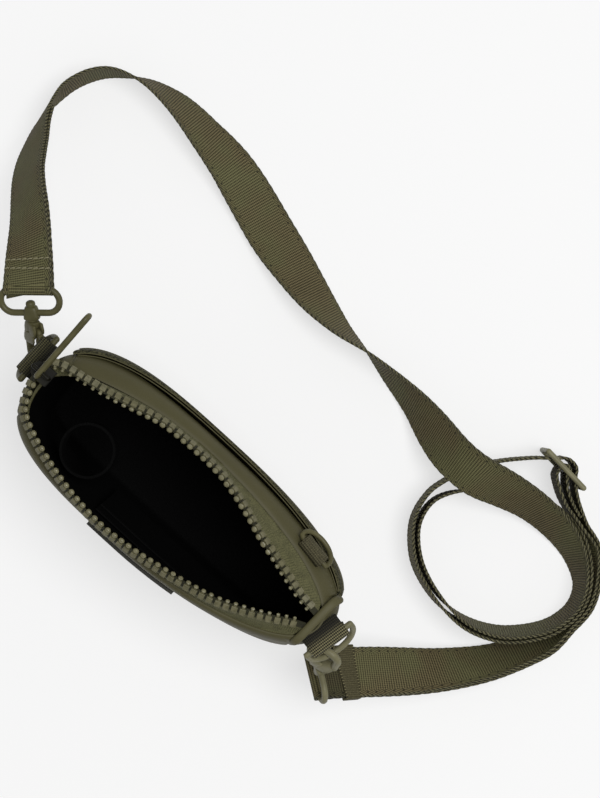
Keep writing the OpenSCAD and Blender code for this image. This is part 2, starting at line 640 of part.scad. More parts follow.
// Strap: rows become centre points and width directions
function lying(lean) = strap_w / 2 * cos(lean) + strap_t / 2 * abs(sin(lean)) + play;
function placed(r) = [r[0] * body_len / layout_len, r[1] * body_len / layout_len,
  lying(r[3]) + r[2] * body_h / layout_h, r[3]];
function all_placed(rows) = [for (r = rows) placed(r)];
function by_glide(u, v) = let (a = glide_turn, k = body_len / layout_len)
  [glide_at[0] * k + u * cos(a) - v * sin(a), glide_at[1] * k + u * sin(a) + v * cos(a)];
glide_lift = 3;
function glide_rows(path) = [for (p = path)
  let (q = by_glide(p[0], p[1])) [q[0], q[1], lying(0) + glide_lift, 0]];
// Moved to the outside of the loop by k strap pitches
function beside(rows, i, k) =
  let (r = rows[i], t = heading(row_points(rows), i), o = flat_left(t) * k * pitch / cos(r[3]))
  [r[0] + o[0], r[1] + o[1], lying(r[3]), r[3]];
function width_dir(t, lean) = across(t, cos(lean) * unit_z + sin(lean) * flat_left(t));
function ribbon_rows(rows) = let (p = row_points(rows)) [for (i = [0:len(p) - 1])
  let (t = heading(p, i)) [p[i], width_dir(t, rows[i][3]), t]];
// Moved towards the inner face by k strap pitches
function inside(rib, k) = [for (r = rib) [r[0] + k * pitch * cross(r[2], r[1]), r[1], r[2]]];

left_wide = cross_dir(left_aim, left_aim[3]);
right_wide = cross_dir(right_aim, right_aim[3]);
wrap_r = eye_wire / 2 + play + strap_t / 2;
left_go = across(left_wide, unit(xyz(placed(run_route[0])) - left_eye_bar));
left_face = cross(left_go, left_wide);
left_start = left_eye_bar - wrap_r * left_face;
right_come = across(right_wide, unit(right_eye_bar - xyz(placed(lower_route[len(lower_route) - 1]))));
right_face = cross(right_come, right_wide);
right_end = right_eye_bar - wrap_r * right_face;
base_rows = concat([[left_start[0], left_start[1], left_start[2], -acos(left_wide[2])]],
  all_placed(run_route), all_placed(turn_route));
run_n = len(run_route);
all_n = len(base_rows);
turn_first = run_n - 3;
turn_rows = concat([for (i = [0:len(turn_shares) - 1]) beside(base_rows, turn_first + i, turn_shares[i])],
  all_placed(exit_route));
first_beside = run_n - 2;
lower_rows = concat(glide_rows(glide_path), all_placed(outer_route),
  [for (i = [0:len(outer_shares) - 1]) beside(base_rows, first_beside + i, outer_shares[i])],
  all_placed(lower_route), [[right_end[0], right_end[1], right_end[2], acos(right_wide[2])]]);
// The whole strand from the left hook to the right one, then its stretches
strand = ribbon_rows(spline(concat(base_rows, turn_rows, lower_rows), 2));
lower_at = 2 * (all_n + len(turn_rows));
last_row = len(strand) - 1;
run_rib = concat([[left_start, left_wide, left_go]], part_of(strand, 1, 2 * run_n));
inner_rib = part_of(strand, 2 * run_n, 2 * all_n - 2);
outer_rib = part_of(strand, 2 * all_n - 2, lower_at);
lower_rib = concat(part_of(strand, lower_at, last_row - 1), [[right_end, right_wide, right_come]]);
join_at = 2 * (len(glide_path) + len(outer_route) + len(outer_shares)) - 1;
fold_r = glide_d / 2 + play + strap_t / 2;
leg_rib = ribbon_rows(spline(concat(glide_rows([[-fold_r, 0]]), all_placed(leg_route),
  [for (i = [0:len(outer_shares) - 1]) beside(base_rows, first_beside + i, outer_shares[i] - 1)]), 2));
return_low = inside(part_of(lower_rib, join_at, len(lower_rib) - 3), 1);
return_pitches = 1.35;
return_rib = concat(leg_rib, return_low, inside([lower_rib[len(lower_rib) - 2]], return_pitches),
  [[right_eye_bar + wrap_r * right_face, right_wide, right_come]]);
bar_start = -1;
bar_steps = [20, 55, 90, 125, 160];
sewn_rib = ribbon_rows(spline(concat(all_placed(sewn_route), glide_rows(concat(
  [[fold_r + touch, bar_start]], [for (a = bar_steps) [fold_r * cos(a), fold_r * sin(a)]]))), 2));
fold_steps = [6, 20, 45, 70, 90, 110, 135, 160, 174];
function fold_row(bar, face, go, wide, a) =
  [bar + wrap_r * (sin(a) * go - cos(a) * face), wide, cos(a) * go + sin(a) * face];
fold_rib = [for (a = fold_steps) fold_row(right_eye_bar, right_face, right_come, right_wide, a)];
doubled_rib = concat([for (a = fold_steps) fold_row(left_eye_bar, left_face, -left_go, left_wide, a)],
  inside(part_of(run_rib, 2, 2 * doubled_n), 1));

// The webbing draws in a little where it passes a ring
ring_share = .94;
near = 20;
function squeeze(c) =
  mix(ring_share, 1, min(1, norm(c - left_eye_bar) / near, norm(c - right_eye_bar) / near));
module ribbon(rib) {
  ht = strap_t / 2;
  cut = strap_t / 3;
  skin([for (r = rib)
    let (c = r[0], w = across(r[2], r[1]), n = cross(r[2], w), hw = strap_w / 2 * squeeze(c))
    [for (q = [[-hw, cut - ht], [cut - hw, -ht], [hw - cut, -ht], [hw, cut - ht],
        [hw, ht - cut], [hw - cut, ht], [cut - hw, ht], [-hw, ht - cut]])
      c + q[0] * w + q[1] * n]]);
}
module strap_long_run() {
  color("#54523a") ribbon(run_rib);
}
module strap_inner_turn() {
  color("#54523a") ribbon(inner_rib);
}
module strap_outer_turn() {
  color("#54523a") ribbon(outer_rib);
}
module strap_lower_run() {
  color("#54523a") ribbon(lower_rib);
}
module strap_return_run() {
  color("#54523a") ribbon(return_rib);
}
module strap_sewn_end() {
  color("#4f4d37") ribbon(sewn_rib);
}
module strap_doubled_end() {
  color("#4f4d37") ribbon(doubled_rib);
}
module strap_fold() {
  color("#4f4d37") ribbon(fold_rib);
}
// Keeper: a flat sleeve round both layers of the lower strap, turned with their twist
keeper_i = len(lower_rib) - 3;
keeper_play = 0.9;
module strap_keeper() {
  hw = strap_w / 2 + keeper_play;
  hn = (pitch + strap_t) / 2 + keeper_play;
  r = keeper_t;
  core = [[-hw, -hn], [hw, -hn], [hw, -hn], [hw, hn], [hw, hn], [-hw, hn], [-hw, hn], [-hw, -hn]];
  path = [[-hw, -hn - r], [hw, -hn - r], [hw + r, -hn], [hw + r, hn], [hw, hn + r], [-hw, hn + r],
    [-hw - r, hn], [-hw - r, -hn]];
  row = lower_rib[keeper_i];
  t = row[2];
  ends = [for (e = [-1, 1]) let (o = lower_rib[keeper_i + e],
    w = across(t, unit(mix(row[1], o[1], keeper_l / 2 / norm(o[0] - row[0])))), n = cross(t, w))
      [row[0] + e * keeper_l / 2 * t + pitch / 2 * n, w, n]];
  color("#4b4933") skin([for (i = [0:7])
    [for (k = [[0, core], [0, path], [1, path], [1, core]]) let (e = ends[k[0]], q = k[1][i])
      e[0] + q[0] * e[1] + q[1] * e[2]]], closed = true);
}
glide_high = strap_w + glide_d + 2 * play;
module tri_glide() {
  k = body_len / layout_len;
  low = lying(0) + glide_lift - glide_high / 2;
  color("#65634a") translate([glide_at[0] * k, glide_at[1] * k, low]) rotate([0, 0, glide_turn]) {
    for (x = [-glide_span / 2, 0, glide_span / 2])
      translate([x, 0, 0]) cylinder(d = glide_d, h = glide_high);
    for (z = [0, glide_high])
      translate([-glide_span / 2, 0, z]) rotate([0, 90, 0]) cylinder(d = glide_d, h = glide_span);
    for (x = [-glide_span / 2, glide_span / 2])
      for (z = [0, glide_high])
        translate([x, 0, z]) sphere(d = glide_d);
  }
}

base_panel();
front_panel();
back_panel();
end_gusset_left();
end_gusset_right();
lining();
zip_tape_front();
zip_tape_back();
zip_teeth_front();
zip_teeth_back();
zip_end_band();
zip_slider();
zip_puller();
back_pocket();
back_pocket_hem();
front_patch();
card_slot_upper();
card_slot_lower();
elastic_loop();
tab_left();
tab_right();
tab_spare();
d_ring_left();
d_ring_right();
d_ring_spare();
hook_eye_left();
hook_eye_right();
hook_body_left();
hook_body_right();
hook_gate_left();
hook_gate_right();
strap_long_run();
strap_inner_turn();
strap_outer_turn();
strap_lower_run();
strap_return_run();
strap_sewn_end();
strap_doubled_end();
strap_fold();
strap_keeper();
tri_glide();
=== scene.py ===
"""The looks of a zipped pouch and its webbing strap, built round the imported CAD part."""

import math

import bmesh
import bpy
import numpy as np
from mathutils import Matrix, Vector


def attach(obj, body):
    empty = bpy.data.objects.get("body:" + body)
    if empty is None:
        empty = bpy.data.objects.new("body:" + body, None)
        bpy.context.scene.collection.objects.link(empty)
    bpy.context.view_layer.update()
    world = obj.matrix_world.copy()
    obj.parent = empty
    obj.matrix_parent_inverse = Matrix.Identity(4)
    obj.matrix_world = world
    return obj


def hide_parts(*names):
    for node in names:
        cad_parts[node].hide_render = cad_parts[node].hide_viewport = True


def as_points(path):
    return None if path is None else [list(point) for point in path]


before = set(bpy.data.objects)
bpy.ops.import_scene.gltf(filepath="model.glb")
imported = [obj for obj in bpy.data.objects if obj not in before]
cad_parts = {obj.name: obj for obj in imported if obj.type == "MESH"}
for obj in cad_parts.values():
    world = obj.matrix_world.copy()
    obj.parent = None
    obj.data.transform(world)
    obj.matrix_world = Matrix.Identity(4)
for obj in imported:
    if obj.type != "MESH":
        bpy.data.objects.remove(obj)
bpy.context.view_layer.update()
MM = 0.001

# The camera looks straight down on the pouch, turned so that the strap leaves to the upper left
CAMERA_AT = (0.0076, 0.0735, 1.123)
CAMERA_TURN = 42.3
LENS = 99.0
scene = bpy.context.scene
camera_data = bpy.data.cameras.new("camera")
camera_data.lens = LENS
camera = bpy.data.objects.new("camera", camera_data)
camera.location = CAMERA_AT
camera.rotation_euler = (0, 0, math.radians(CAMERA_TURN))
scene.collection.objects.link(camera)
scene.camera = camera


def sin(a):
    return np.sin(np.radians(a))


def cos(a):
    return np.cos(np.radians(a))


def vec(*a):
    return np.array(a, float)


def unit(v):
    """The vector, or each row of vectors, at length one."""
    v = np.asarray(v, float)
    return v / np.linalg.norm(v, axis=-1, keepdims=True)


def mix(a, b, t):
    return a + (b - a) * t


# Sizes in millimetres, those of the CAD part but for a wider gap behind the pocket
body_len, body_front, body_back, body_h = 182.0, 36.0, 33.2, 100.0
wall_t, play = 3.0, 0.3
zip_rise, tooth_pitch = 8.0, 4.07
pocket_t, pocket_gap = 1.4, 2.8
strap_w, strap_t = 25.0, 1.4
pitch = strap_t * 1.28
split_share = 0.055
seam_a = 25.0
SEAMS = (seam_a, 180 - seam_a, 180 + seam_a, 360 - seam_a)

# The body's outline: height shares, then half-length, reaches and corner powers
LEVELS = [0, 0.03, 0.08, 0.35, 0.65, 0.88, 0.96, 1]
LEN_SHARES = [0.92, 0.945, 0.955, 0.97, 0.99, 1, 0.99, 0.96]
BACK_SHARES = [0.6, 0.67, 0.71, 0.8, 0.95, 1, 0.97, 0.86]
FRONT_SHARES = [0.56, 0.63, 0.66, 0.76, 0.93, 1, 0.985, 0.95]
CORNERS = {
    (1, 1): [5, 5, 5, 4.4, 3.2, 2.6, 2.3, 2.05],
    (-1, 1): [5, 5, 5, 4.4, 3.2, 2.7, 2.2, 1.8],
    (1, -1): [5, 5, 5, 4.2, 2.8, 2.0, 1.95, 1.9],
    (-1, -1): [5, 5, 5, 4.6, 3.8, 3.4, 3.2, 2.9],
}
FINE = np.linspace(0, 1, 401)


def smooth_table(values):
    """The table over the height, with its corners rounded off."""
    fine = np.interp(FINE, LEVELS, values)
    width = 7
    kernel = np.exp(-0.5 * (np.arange(-3 * width, 3 * width + 1) / width) ** 2)
    kernel /= kernel.sum()
    start = 2 * fine[0] - fine[3 * width:0:-1]
    end = 2 * fine[-1] - fine[-2:-2 - 3 * width:-1]
    return np.convolve(np.concatenate([start, fine, end]), kernel, "valid")


TABLES = {
    "len": smooth_table(LEN_SHARES),
    "back": smooth_table(BACK_SHARES),
    "front": smooth_table(FRONT_SHARES),
}
CORNER_TABLES = {k: smooth_table(v) for k, v in CORNERS.items()}


def at(table, z):
    return np.interp(z, FINE, table)


def body_pt(z, a, off):
    """Points of the pouch's outline at height share z and angle a, moved out by off."""
    z, a, off = np.broadcast_arrays(np.asarray(z, float), np.asarray(a, float), np.asarray(off, float))
    c, s = cos(a), sin(a)
    right, back = c >= 0, s >= 0
    p = np.zeros_like(z)
    for (i, j), table in CORNER_TABLES.items():
        here = (right == (i > 0)) & (back == (j > 0))
        p = np.where(here, at(table, z), p)
    side = np.where(right, 1.0, -1.0)
    half = body_len * (0.5 + side * split_share) * at(TABLES["len"], z) + off
    reach = np.where(back, body_back * at(TABLES["back"], z), body_front * at(TABLES["front"], z)) + off
    x = side * half * np.abs(c) ** (2 / p) - body_len * split_share
    y = np.where(back, 1.0, -1.0) * reach * np.abs(s) ** (2 / p)
    return np.stack([x, y, z * body_h], -1)


def spline(points, k):
    """Points of a smooth curve through the given rows, k steps between each two."""
    p = np.asarray(points, float)
    n = len(p)
    out = []
    for i in range(n - 1):
        a, b, c, d = p[max(i - 1, 0)], p[i], p[i + 1], p[min(i + 2, n - 1)]
        for j in range(k):
            t = j / k
            square, cube = 2 * a - 5 * b + 4 * c - d, 3 * b - a - 3 * c + d
            out.append((2 * b + (c - a) * t + square * t ** 2 + cube * t ** 3) / 2)
    out.append(p[-1])
    return np.array(out)


def lengths(points):
    steps = np.linalg.norm(np.diff(points[:, :3], axis=0), axis=1)
    return np.concatenate([[0], np.cumsum(steps)])


def resample(points, step):
    """The same rows, the given length apart."""
    s = lengths(points)
    n = max(2, int(round(s[-1] / step)) + 1)
    marks = np.linspace(0, s[-1], n)
    return np.stack([np.interp(marks, s, points[:, k]) for k in range(points.shape[1])], 1), marks


def headings(p):
    d = np.empty_like(p)
    d[1:-1] = p[2:] - p[:-2]
    d[0] = p[1] - p[0]
    d[-1] = p[-1] - p[-2]
    return unit(d)


def square_to(t, w):
    """The part of w that is square to the unit vector t, at length one."""
    return unit(w - (w * t).sum(-1, keepdims=True) * t)


# Pitches of the strap's weave in millimetres, then how far in its border, stitches and selvedge lie
RIB, DOT, TWILL, STITCH, ROPE = 1.3, 0.95, 1.0, 5.0, 2.5
BORDER, STITCH_IN, SELVEDGE = 3.4, 2.3, 1.0


# Materials
class Shader:
    """Short names for building one material's nodes."""

    def __init__(self, name):
        self.mat = bpy.data.materials.new(name)
        self.mat.use_nodes = True
        self.tree = self.mat.node_tree
        self.bsdf = self.tree.nodes["Principled BSDF"]

    def node(self, kind, **inputs):
        n = self.tree.nodes.new(kind)
        for k, v in inputs.items():
            self.put(n.inputs[int(k[1:])] if k[0] == "i" and k[1:].isdigit() else n.inputs[k], v)
        return n

    def put(self, socket, v):
        if isinstance(v, bpy.types.NodeSocket):
            self.tree.links.new(v, socket)
        else:
            socket.default_value = v

    def math(self, op, a, b=0.0, c=0.0):
        n = self.node("ShaderNodeMath", i0=a, i1=b, i2=c)
        n.operation = op
        return n.outputs[0]

    def add(self, a, b):
        return self.math("ADD", a, b)

    def mul(self, a, b):
        return self.math("MULTIPLY", a, b)

    def wave(self, value, period):
        return self.math("SINE", self.mul(value, 2 * math.pi / period))

    def uv(self):
        n = self.node("ShaderNodeUVMap")
        x = self.node("ShaderNodeSeparateXYZ", i0=n.outputs[0])
        return x.outputs[0], x.outputs[1]

    def place(self):
        return self.node("ShaderNodeTexCoord").outputs["Object"]

    def noise(self, vector, scale, detail=3.0, rough=0.55):
        n = self.node("ShaderNodeTexNoise", Vector=vector, Scale=scale, Detail=detail, Roughness=rough)
        return n.outputs[0]

    def ramp(self, value, low, high, a=0.0, b=1.0):
        n = self.node("ShaderNodeMapRange")
        n.interpolation_type = "SMOOTHSTEP"
        for k, v in zip(("Value", "From Min", "From Max", "To Min", "To Max"), (value, low, high, a, b)):
            self.put(n.inputs[k], v)
        return n.outputs[0]

    def blend(self, factor, a, b):
        n = self.node("ShaderNodeMix")
        n.data_type = "RGBA"
        self.put(n.inputs[0], factor)
        self.put(n.inputs[6], rgba(a) if isinstance(a, tuple) else a)
        self.put(n.inputs[7], rgba(b) if isinstance(b, tuple) else b)
        return n.outputs[2]

    def bump(self, height, strength, distance):
        n = self.node("ShaderNodeBump", Strength=strength, Distance=distance, Height=height)
        self.put(self.bsdf.inputs["Normal"], n.outputs[0])

    def set(self, **values):
        for k, v in values.items():
            name = k.replace("_", " ")
            self.put(self.bsdf.inputs[name], rgba(v) if isinstance(v, tuple) else v)
        return self


def linear(v):
    v = v / 255
    return v / 12.92 if v <= 0.04045 else ((v + 0.055) / 1.055) ** 2.4


def srgb(r, g, b):
    return linear(r), linear(g), linear(b)


def rgba(c):
    return (*c, 1.0)


def metal_paint(name, low, high, shine=0.22):
    s = Shader(name)
    n = s.noise(s.place(), 900.0, 2.0)
    patch = s.noise(s.place(), 90.0, 2.0)
    s.set(Base_Color=s.blend(s.ramp(patch, 0.3, 0.7), srgb(*low), srgb(*high)))
    s.set(Roughness=s.ramp(n, 0.2, 0.8, 0.38, 0.52))
    s.set(Specular_IOR_Level=shine)
    s.bump(n, 0.06, 0.0002)
    return s.mat


def tooth_plastic(name, low, high, rough):
    s = Shader(name)
    n = s.noise(s.place(), 500.0, 2.0)
    s.set(Base_Color=s.blend(s.ramp(n, 0.3, 0.7), srgb(*low), srgb(*high)), Roughness=rough)
    s.set(Specular_IOR_Level=0.4)
    return s.mat


def neoprene(name, low, high):
    s = Shader(name)
    knit = s.noise(s.place(), 2600.0, 2.0, 0.6)
    broad = s.noise(s.place(), 22.0, 2.0)
    shade = s.add(s.mul(broad, 0.5), s.mul(knit, 0.5))
    s.set(Base_Color=s.blend(s.ramp(shade, 0.2, 0.8), srgb(*low), srgb(*high)), Roughness=0.6)
    s.set(Specular_IOR_Level=0.3)
    s.bump(knit, 0.25, 0.0002)
    return s.mat


def rough_knit():
    s = Shader("pocket_knit")
    knit = s.noise(s.place(), 1100.0, 3.0, 0.7)
    s.set(Base_Color=s.blend(s.ramp(knit, 0.38, 0.62), srgb(22, 22, 12), srgb(78, 76, 52)), Roughness=0.8)
    s.set(Specular_IOR_Level=0.2)
    s.bump(knit, 0.6, 0.0004)
    return s.mat


def black_cloth(name="black_cloth", low=(1, 1, 1), high=(6, 6, 6)):
    s = Shader(name)
    n = s.noise(s.place(), 1200.0, 3.0, 0.6)
    s.set(Base_Color=s.blend(s.ramp(n, 0.3, 0.7), srgb(*low), srgb(*high)), Roughness=0.85)
    s.set(Specular_IOR_Level=0.08)
    s.bump(n, 0.4, 0.0003)
    return s.mat


def tape_cloth():
    """Herringbone tape: chevrons whose legs turn over half-way across."""
    s = Shader("tape_herringbone")
    u, v = s.uv()
    leg = s.math("PINGPONG", v, 3.4)
    lines = s.wave(s.add(u, s.mul(leg, 1.2)), 1.0)
    n = s.noise(s.place(), 1600.0, 3.0, 0.6)
    broad = s.noise(s.place(), 160.0, 2.0)
    shade = s.add(s.add(s.mul(lines, 0.22), s.mul(n, 0.75)), s.mul(broad, 0.45))
    cloth = s.blend(s.ramp(shade, 0.1, 1.0), srgb(36, 36, 20), srgb(110, 108, 73))
    # Painted shade: the tape darkens near the teeth, under and between them, where they shade it
    s.set(Base_Color=s.blend(s.ramp(v, 1.7, 2.5, 0.8, 0.0), cloth, srgb(17, 17, 9)), Roughness=0.75)
    s.set(Specular_IOR_Level=0.3)
    s.bump(s.add(s.mul(lines, 0.6), n), 0.5, 0.0003)
    return s.mat


def webbing(name, painted_shade=None):
    """Ribbed webbing: dotted cross ribs, a twill border with stitch holes, and a roped selvedge.

    Its last argument gives where along the strap painted shade darkens it, from and to, and by how much.
    """
    s = Shader(name)
    edge = strap_w / 2
    u, v = s.uv()
    far = s.math("ABSOLUTE", v)
    grain = s.noise(s.place(), 1700.0, 3.0, 0.65)
    broad = s.noise(s.place(), 38.0, 2.0)
    middle = s.add(s.mul(s.wave(u, RIB), 0.24), s.mul(s.wave(v, DOT), 0.14))
    twill = s.mul(s.wave(s.add(v, s.mul(u, 0.45)), TWILL), 0.26)
    side = s.ramp(far, edge - BORDER, edge - BORDER + 0.4)
    weave = s.add(s.mul(middle, s.math("SUBTRACT", 1.0, side)), s.mul(twill, side))
    shade = s.add(s.add(weave, s.mul(grain, 0.5)), s.mul(broad, 0.4))
    light = s.blend(s.ramp(broad, 0.35, 0.65), srgb(118, 107, 76), srgb(108, 106, 72))
    cloth = s.blend(s.ramp(shade, 0.05, 0.85), srgb(40, 37, 19), light)
    step = s.math("ABSOLUTE", s.add(s.math("MODULO", s.add(u, 1000 * STITCH), STITCH), -STITCH / 2))
    near = s.ramp(s.math("ABSOLUTE", s.add(far, STITCH_IN - edge)), 0.25, 0.6, 1.0, 0.0)
    hole = s.mul(s.ramp(step, 0.3, 0.75, 1.0, 0.0), near)
    cloth = s.blend(s.mul(hole, 0.75), cloth, srgb(14, 13, 8))
    rope = s.wave(s.add(u, s.mul(far, 1.4)), ROPE)
    speck = s.ramp(s.add(s.mul(rope, 0.3), s.mul(grain, 1.5)), 0.45, 1.05)
    border = s.ramp(far, edge - SELVEDGE, edge - SELVEDGE + 0.4)
    cloth = s.blend(border, cloth, s.blend(speck, srgb(24, 23, 13), srgb(104, 100, 74)))
    # Painted shade: the strap darkens towards its end, where it lies in the shade of the hook and pouch
    if painted_shade:
        cloth = s.blend(s.ramp(u, painted_shade[0], painted_shade[1], 0.0, painted_shade[2]), cloth, srgb(19, 18, 10))
    s.set(Base_Color=cloth, Roughness=0.8)
    s.set(Specular_IOR_Level=0.25)
    height = s.add(s.add(s.mul(weave, 1.6), grain), s.mul(hole, -1.5))
    s.bump(s.add(height, s.mul(s.mul(rope, border), 0.5)), 0.5, 0.0003)
    return s.mat


def tab_webbing(name, along, out, painted_shade_until, light, contrast, top):
    """Webbing of the short tabs: rows of light dots, along and across the bar, and painted shade that darkens
    it near the seam.
    """
    s = Shader(name)

    def place_along(direction):
        n = s.node("ShaderNodeVectorMath", i0=s.place(), i1=tuple(float(x) for x in direction))
        n.operation = "DOT_PRODUCT"
        return n.outputs["Value"]

    row = s.wave(place_along(along), 0.95 * MM)
    dash = s.wave(place_along(out), 1.25 * MM)
    grain = s.noise(s.place(), 1900.0, 3.0, 0.65)
    shade = s.add(s.add(s.mul(row, 0.22 * contrast), s.mul(dash, 0.3 * contrast)), s.mul(grain, 0.8))
    cloth = s.blend(s.ramp(shade, 0.0, 1.0), srgb(24, 22, 10), srgb(*top))
    # Painted shade: the tab darkens from one place outwards to another, towards its seam
    depth = s.ramp(place_along(out), painted_shade_until * MM, light * MM, 0.92, 0.0)
    s.set(Base_Color=s.blend(depth, cloth, srgb(13, 12, 7)), Roughness=0.75)
    s.set(Specular_IOR_Level=0.3)
    s.bump(s.add(s.add(row, dash), s.mul(grain, 0.4)), 0.6, 0.0003)
    return s.mat


def keeper_webbing():
    """The keeper's narrow webbing, with a row of dots along each edge."""
    s = Shader("keeper_webbing")
    u, v = s.uv()
    far = s.math("ABSOLUTE", v)
    grain = s.noise(s.place(), 1700.0, 3.0, 0.65)
    rib = s.wave(u, 1.1)
    at_edge = s.ramp(s.math("ABSOLUTE", s.add(far, -4.9)), 0.3, 0.7, 1.0, 0.0)
    dots = s.mul(s.wave(u, 1.5), at_edge)
    shade = s.add(s.add(s.mul(rib, 0.06), s.mul(grain, 0.6)), s.mul(dots, 0.45))
    s.set(Base_Color=s.blend(s.ramp(shade, 0.0, 0.75), srgb(40, 37, 21), srgb(108, 102, 73)), Roughness=0.8)
    s.set(Specular_IOR_Level=0.25)
    s.bump(s.add(s.mul(rib, 0.4), grain), 0.5, 0.0003)
    return s.mat


def plain(name, colour, rough):
    s = Shader(name)
    s.set(Base_Color=srgb(*colour), Roughness=rough)
    return s.mat


METAL = metal_paint("painted_metal", (75, 72, 46), (91, 87, 59))
# A lit copy of the painted metal: its lighter colours are painted light on the right hook, D-ring and
# adjuster
METAL_LIT_COPY = metal_paint("painted_metal_lit_copy", (104, 101, 76), (122, 118, 91))
# The heads are the pads' plastic, painted lighter as a highlight on their round tops
TOOTH_HEAD_LIT_COPY = tooth_plastic("tooth_head_plastic_lit_copy", (104, 100, 74), (122, 118, 90), 0.3)
TOOTH_PAD = tooth_plastic("tooth_pad_plastic", (86, 83, 57), (105, 101, 74), 0.5)
# A shaded copy of the painted metal: its darker colours are painted shade on the slider
METAL_SHADED_COPY = metal_paint("slider_metal_shaded_copy", (15, 14, 8), (27, 26, 16), 0.12)
NEOPRENE = neoprene("neoprene", (66, 63, 38), (80, 76, 48))
NEOPRENE_LIGHT = neoprene("neoprene_band", (74, 71, 44), (86, 82, 54))
KNIT = rough_knit()
BLACK = black_cloth()
COLLAR_CLOTH = black_cloth("collar_cloth", (16, 16, 9), (34, 33, 20))
TAPE = tape_cloth()
WEB = webbing("strap_webbing")
KEEPER = keeper_webbing()
THREAD = plain("stitch_thread", (126, 121, 92), 0.6)
RUBBER = plain("patch_rubber", (33, 32, 19), 0.6)


def add_mesh(name, verts, faces, material, uvs=None, angle=40.0):
    mesh = bpy.data.meshes.new(name)
    mesh.from_pydata((np.asarray(verts, float) * MM).tolist(), [], [tuple(int(i) for i in f) for f in faces])
    if uvs is not None:
        layer = mesh.uv_layers.new(name="UVMap")
        loops = np.empty(len(mesh.loops), np.int32)
        mesh.loops.foreach_get("vertex_index", loops)
        layer.data.foreach_set("uv", np.asarray(uvs, float)[loops].ravel())
    mesh.materials.append(material)
    outward = bmesh.new()
    outward.from_mesh(mesh)
    bmesh.ops.recalc_face_normals(outward, faces=outward.faces)
    outward.to_mesh(mesh)
    outward.free()
    mesh.shade_smooth()
    mesh.set_sharp_from_angle(angle=math.radians(angle))
    ob = bpy.data.objects.new(name, mesh)
    scene.collection.objects.link(ob)
    return ob


def grid_faces(n, m, closed_n=False, closed_m=False):
    """Quads of a grid of n rows by m columns."""
    faces = []
    for i in range(n if closed_n else n - 1):
        for j in range(m if closed_m else m - 1):
            a, b = i * m + j, i * m + (j + 1) % m
            c, d = ((i + 1) % n) * m + (j + 1) % m, ((i + 1) % n) * m + j
            faces.append((a, b, c, d))
    return faces


def loft(name, rings, material, closed=False, uvs=None, angle=40.0):
    """A skin through rings of points, capped at both ends unless it closes on itself."""
    rings = np.asarray(rings, float)
    n, m = rings.shape[:2]
    faces = grid_faces(n, m, closed_n=closed, closed_m=True)
    if not closed:
        faces.append(tuple(range(m))[::-1])
        faces.append(tuple((n - 1) * m + k for k in range(m)))
    if uvs is not None:
        uvs = np.reshape(uvs, (-1, 2))
    return add_mesh(name, rings.reshape(-1, 3), faces, material, uvs, angle)


def gather(name, skins, material, angle=40.0):
    """One object of several skins, each given as rings and whether it closes on itself."""
    verts, faces = [], []
    for rings, closed in skins:
        rings = np.asarray(rings, float)
        n, m = rings.shape[:2]
        base = len(verts)
        verts.extend(rings.reshape(-1, 3))
        faces += [tuple(base + v for v in f) for f in grid_faces(n, m, closed_n=closed, closed_m=True)]
        if not closed:
            faces.append(tuple(base + v for v in range(m))[::-1])
            faces.append(tuple(base + (n - 1) * m + v for v in range(m)))
    return add_mesh(name, verts, faces, material, angle=angle)


def closed_tube(points, radius, sides=14):
    """Rings of a round tube along a closed loop of points."""
    around = np.concatenate([points[-1:], points, points[:1]])
    return tube(around, radius, sides)[1:-1]


def tube(points, radius, sides=10):
    """Rings of a round tube along points."""
    t = headings(points)
    a = square_to(t, np.tile(vec(0.13, 0.21, 0.97), (len(points), 1)))
    b = np.cross(t, a)
    turn = np.linspace(0, 360, sides, endpoint=False)[None, :, None]
    return points[:, None] + radius * (a[:, None] * cos(turn) + b[:, None] * sin(turn))


def oval(power, sides):
    """Points of an oval that reaches one each way, squarer as the power grows."""
    turn = np.linspace(0, 360, sides, endpoint=False)
    c, s = cos(turn), sin(turn)
    return np.stack([np.sign(c) * np.abs(c) ** (2 / power), np.sign(s) * np.abs(s) ** (2 / power)], 1)


# The pouch's outer shell: one thick skin with a groove at each upright seam
SEAM_DEPTH, SEAM_WIDTH = 0.5, 0.8


def seam_grooves(z, a):
    base = body_pt(z, a, 0)
    depth = np.zeros(base.shape[:-1])
    for seam in SEAMS:
        gap = np.linalg.norm(base - body_pt(z, seam, 0), axis=-1)
        depth += SEAM_DEPTH * np.exp(-((gap / SEAM_WIDTH) ** 2))
    return depth


def shell_angles():
    """Angles round the shell, closer together at each seam."""
    extra = [s + d for s in SEAMS for d in (-1.5, -1, -0.6, -0.3, 0, 0.3, 0.6, 1, 1.5)]
    every = np.concatenate([np.linspace(0, 360, 300, endpoint=False), extra])
    return np.array(sorted(set(np.round(every, 4))))


def build_shell():
    a = shell_angles()
    z_up = np.concatenate([[0, 0.004, 0.012, 0.03], np.linspace(0.05, 0.95, 46), [0.965, 0.98]])
    rings = [body_pt(z, a, -seam_grooves(z, a)) for z in z_up]
    for z, off in ((0.989, -0.15), (0.996, -0.5), (1.0, -1.1), (1.0, -1.9), (0.996, -2.5), (0.985, -2.9)):
        rings.append(body_pt(z, a, off))
    for z in np.linspace(0.96, 0.034, 30):
        rings.append(body_pt(z, a, -wall_t))
    rings.append(body_pt(0.0, a, -wall_t - 0.05))
    return loft("pouch_shell", rings, NEOPRENE, closed=True, angle=60)


shell = build_shell()
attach(shell, "pouch")
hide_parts("front_panel", "back_panel", "end_gusset_left", "end_gusset_right")

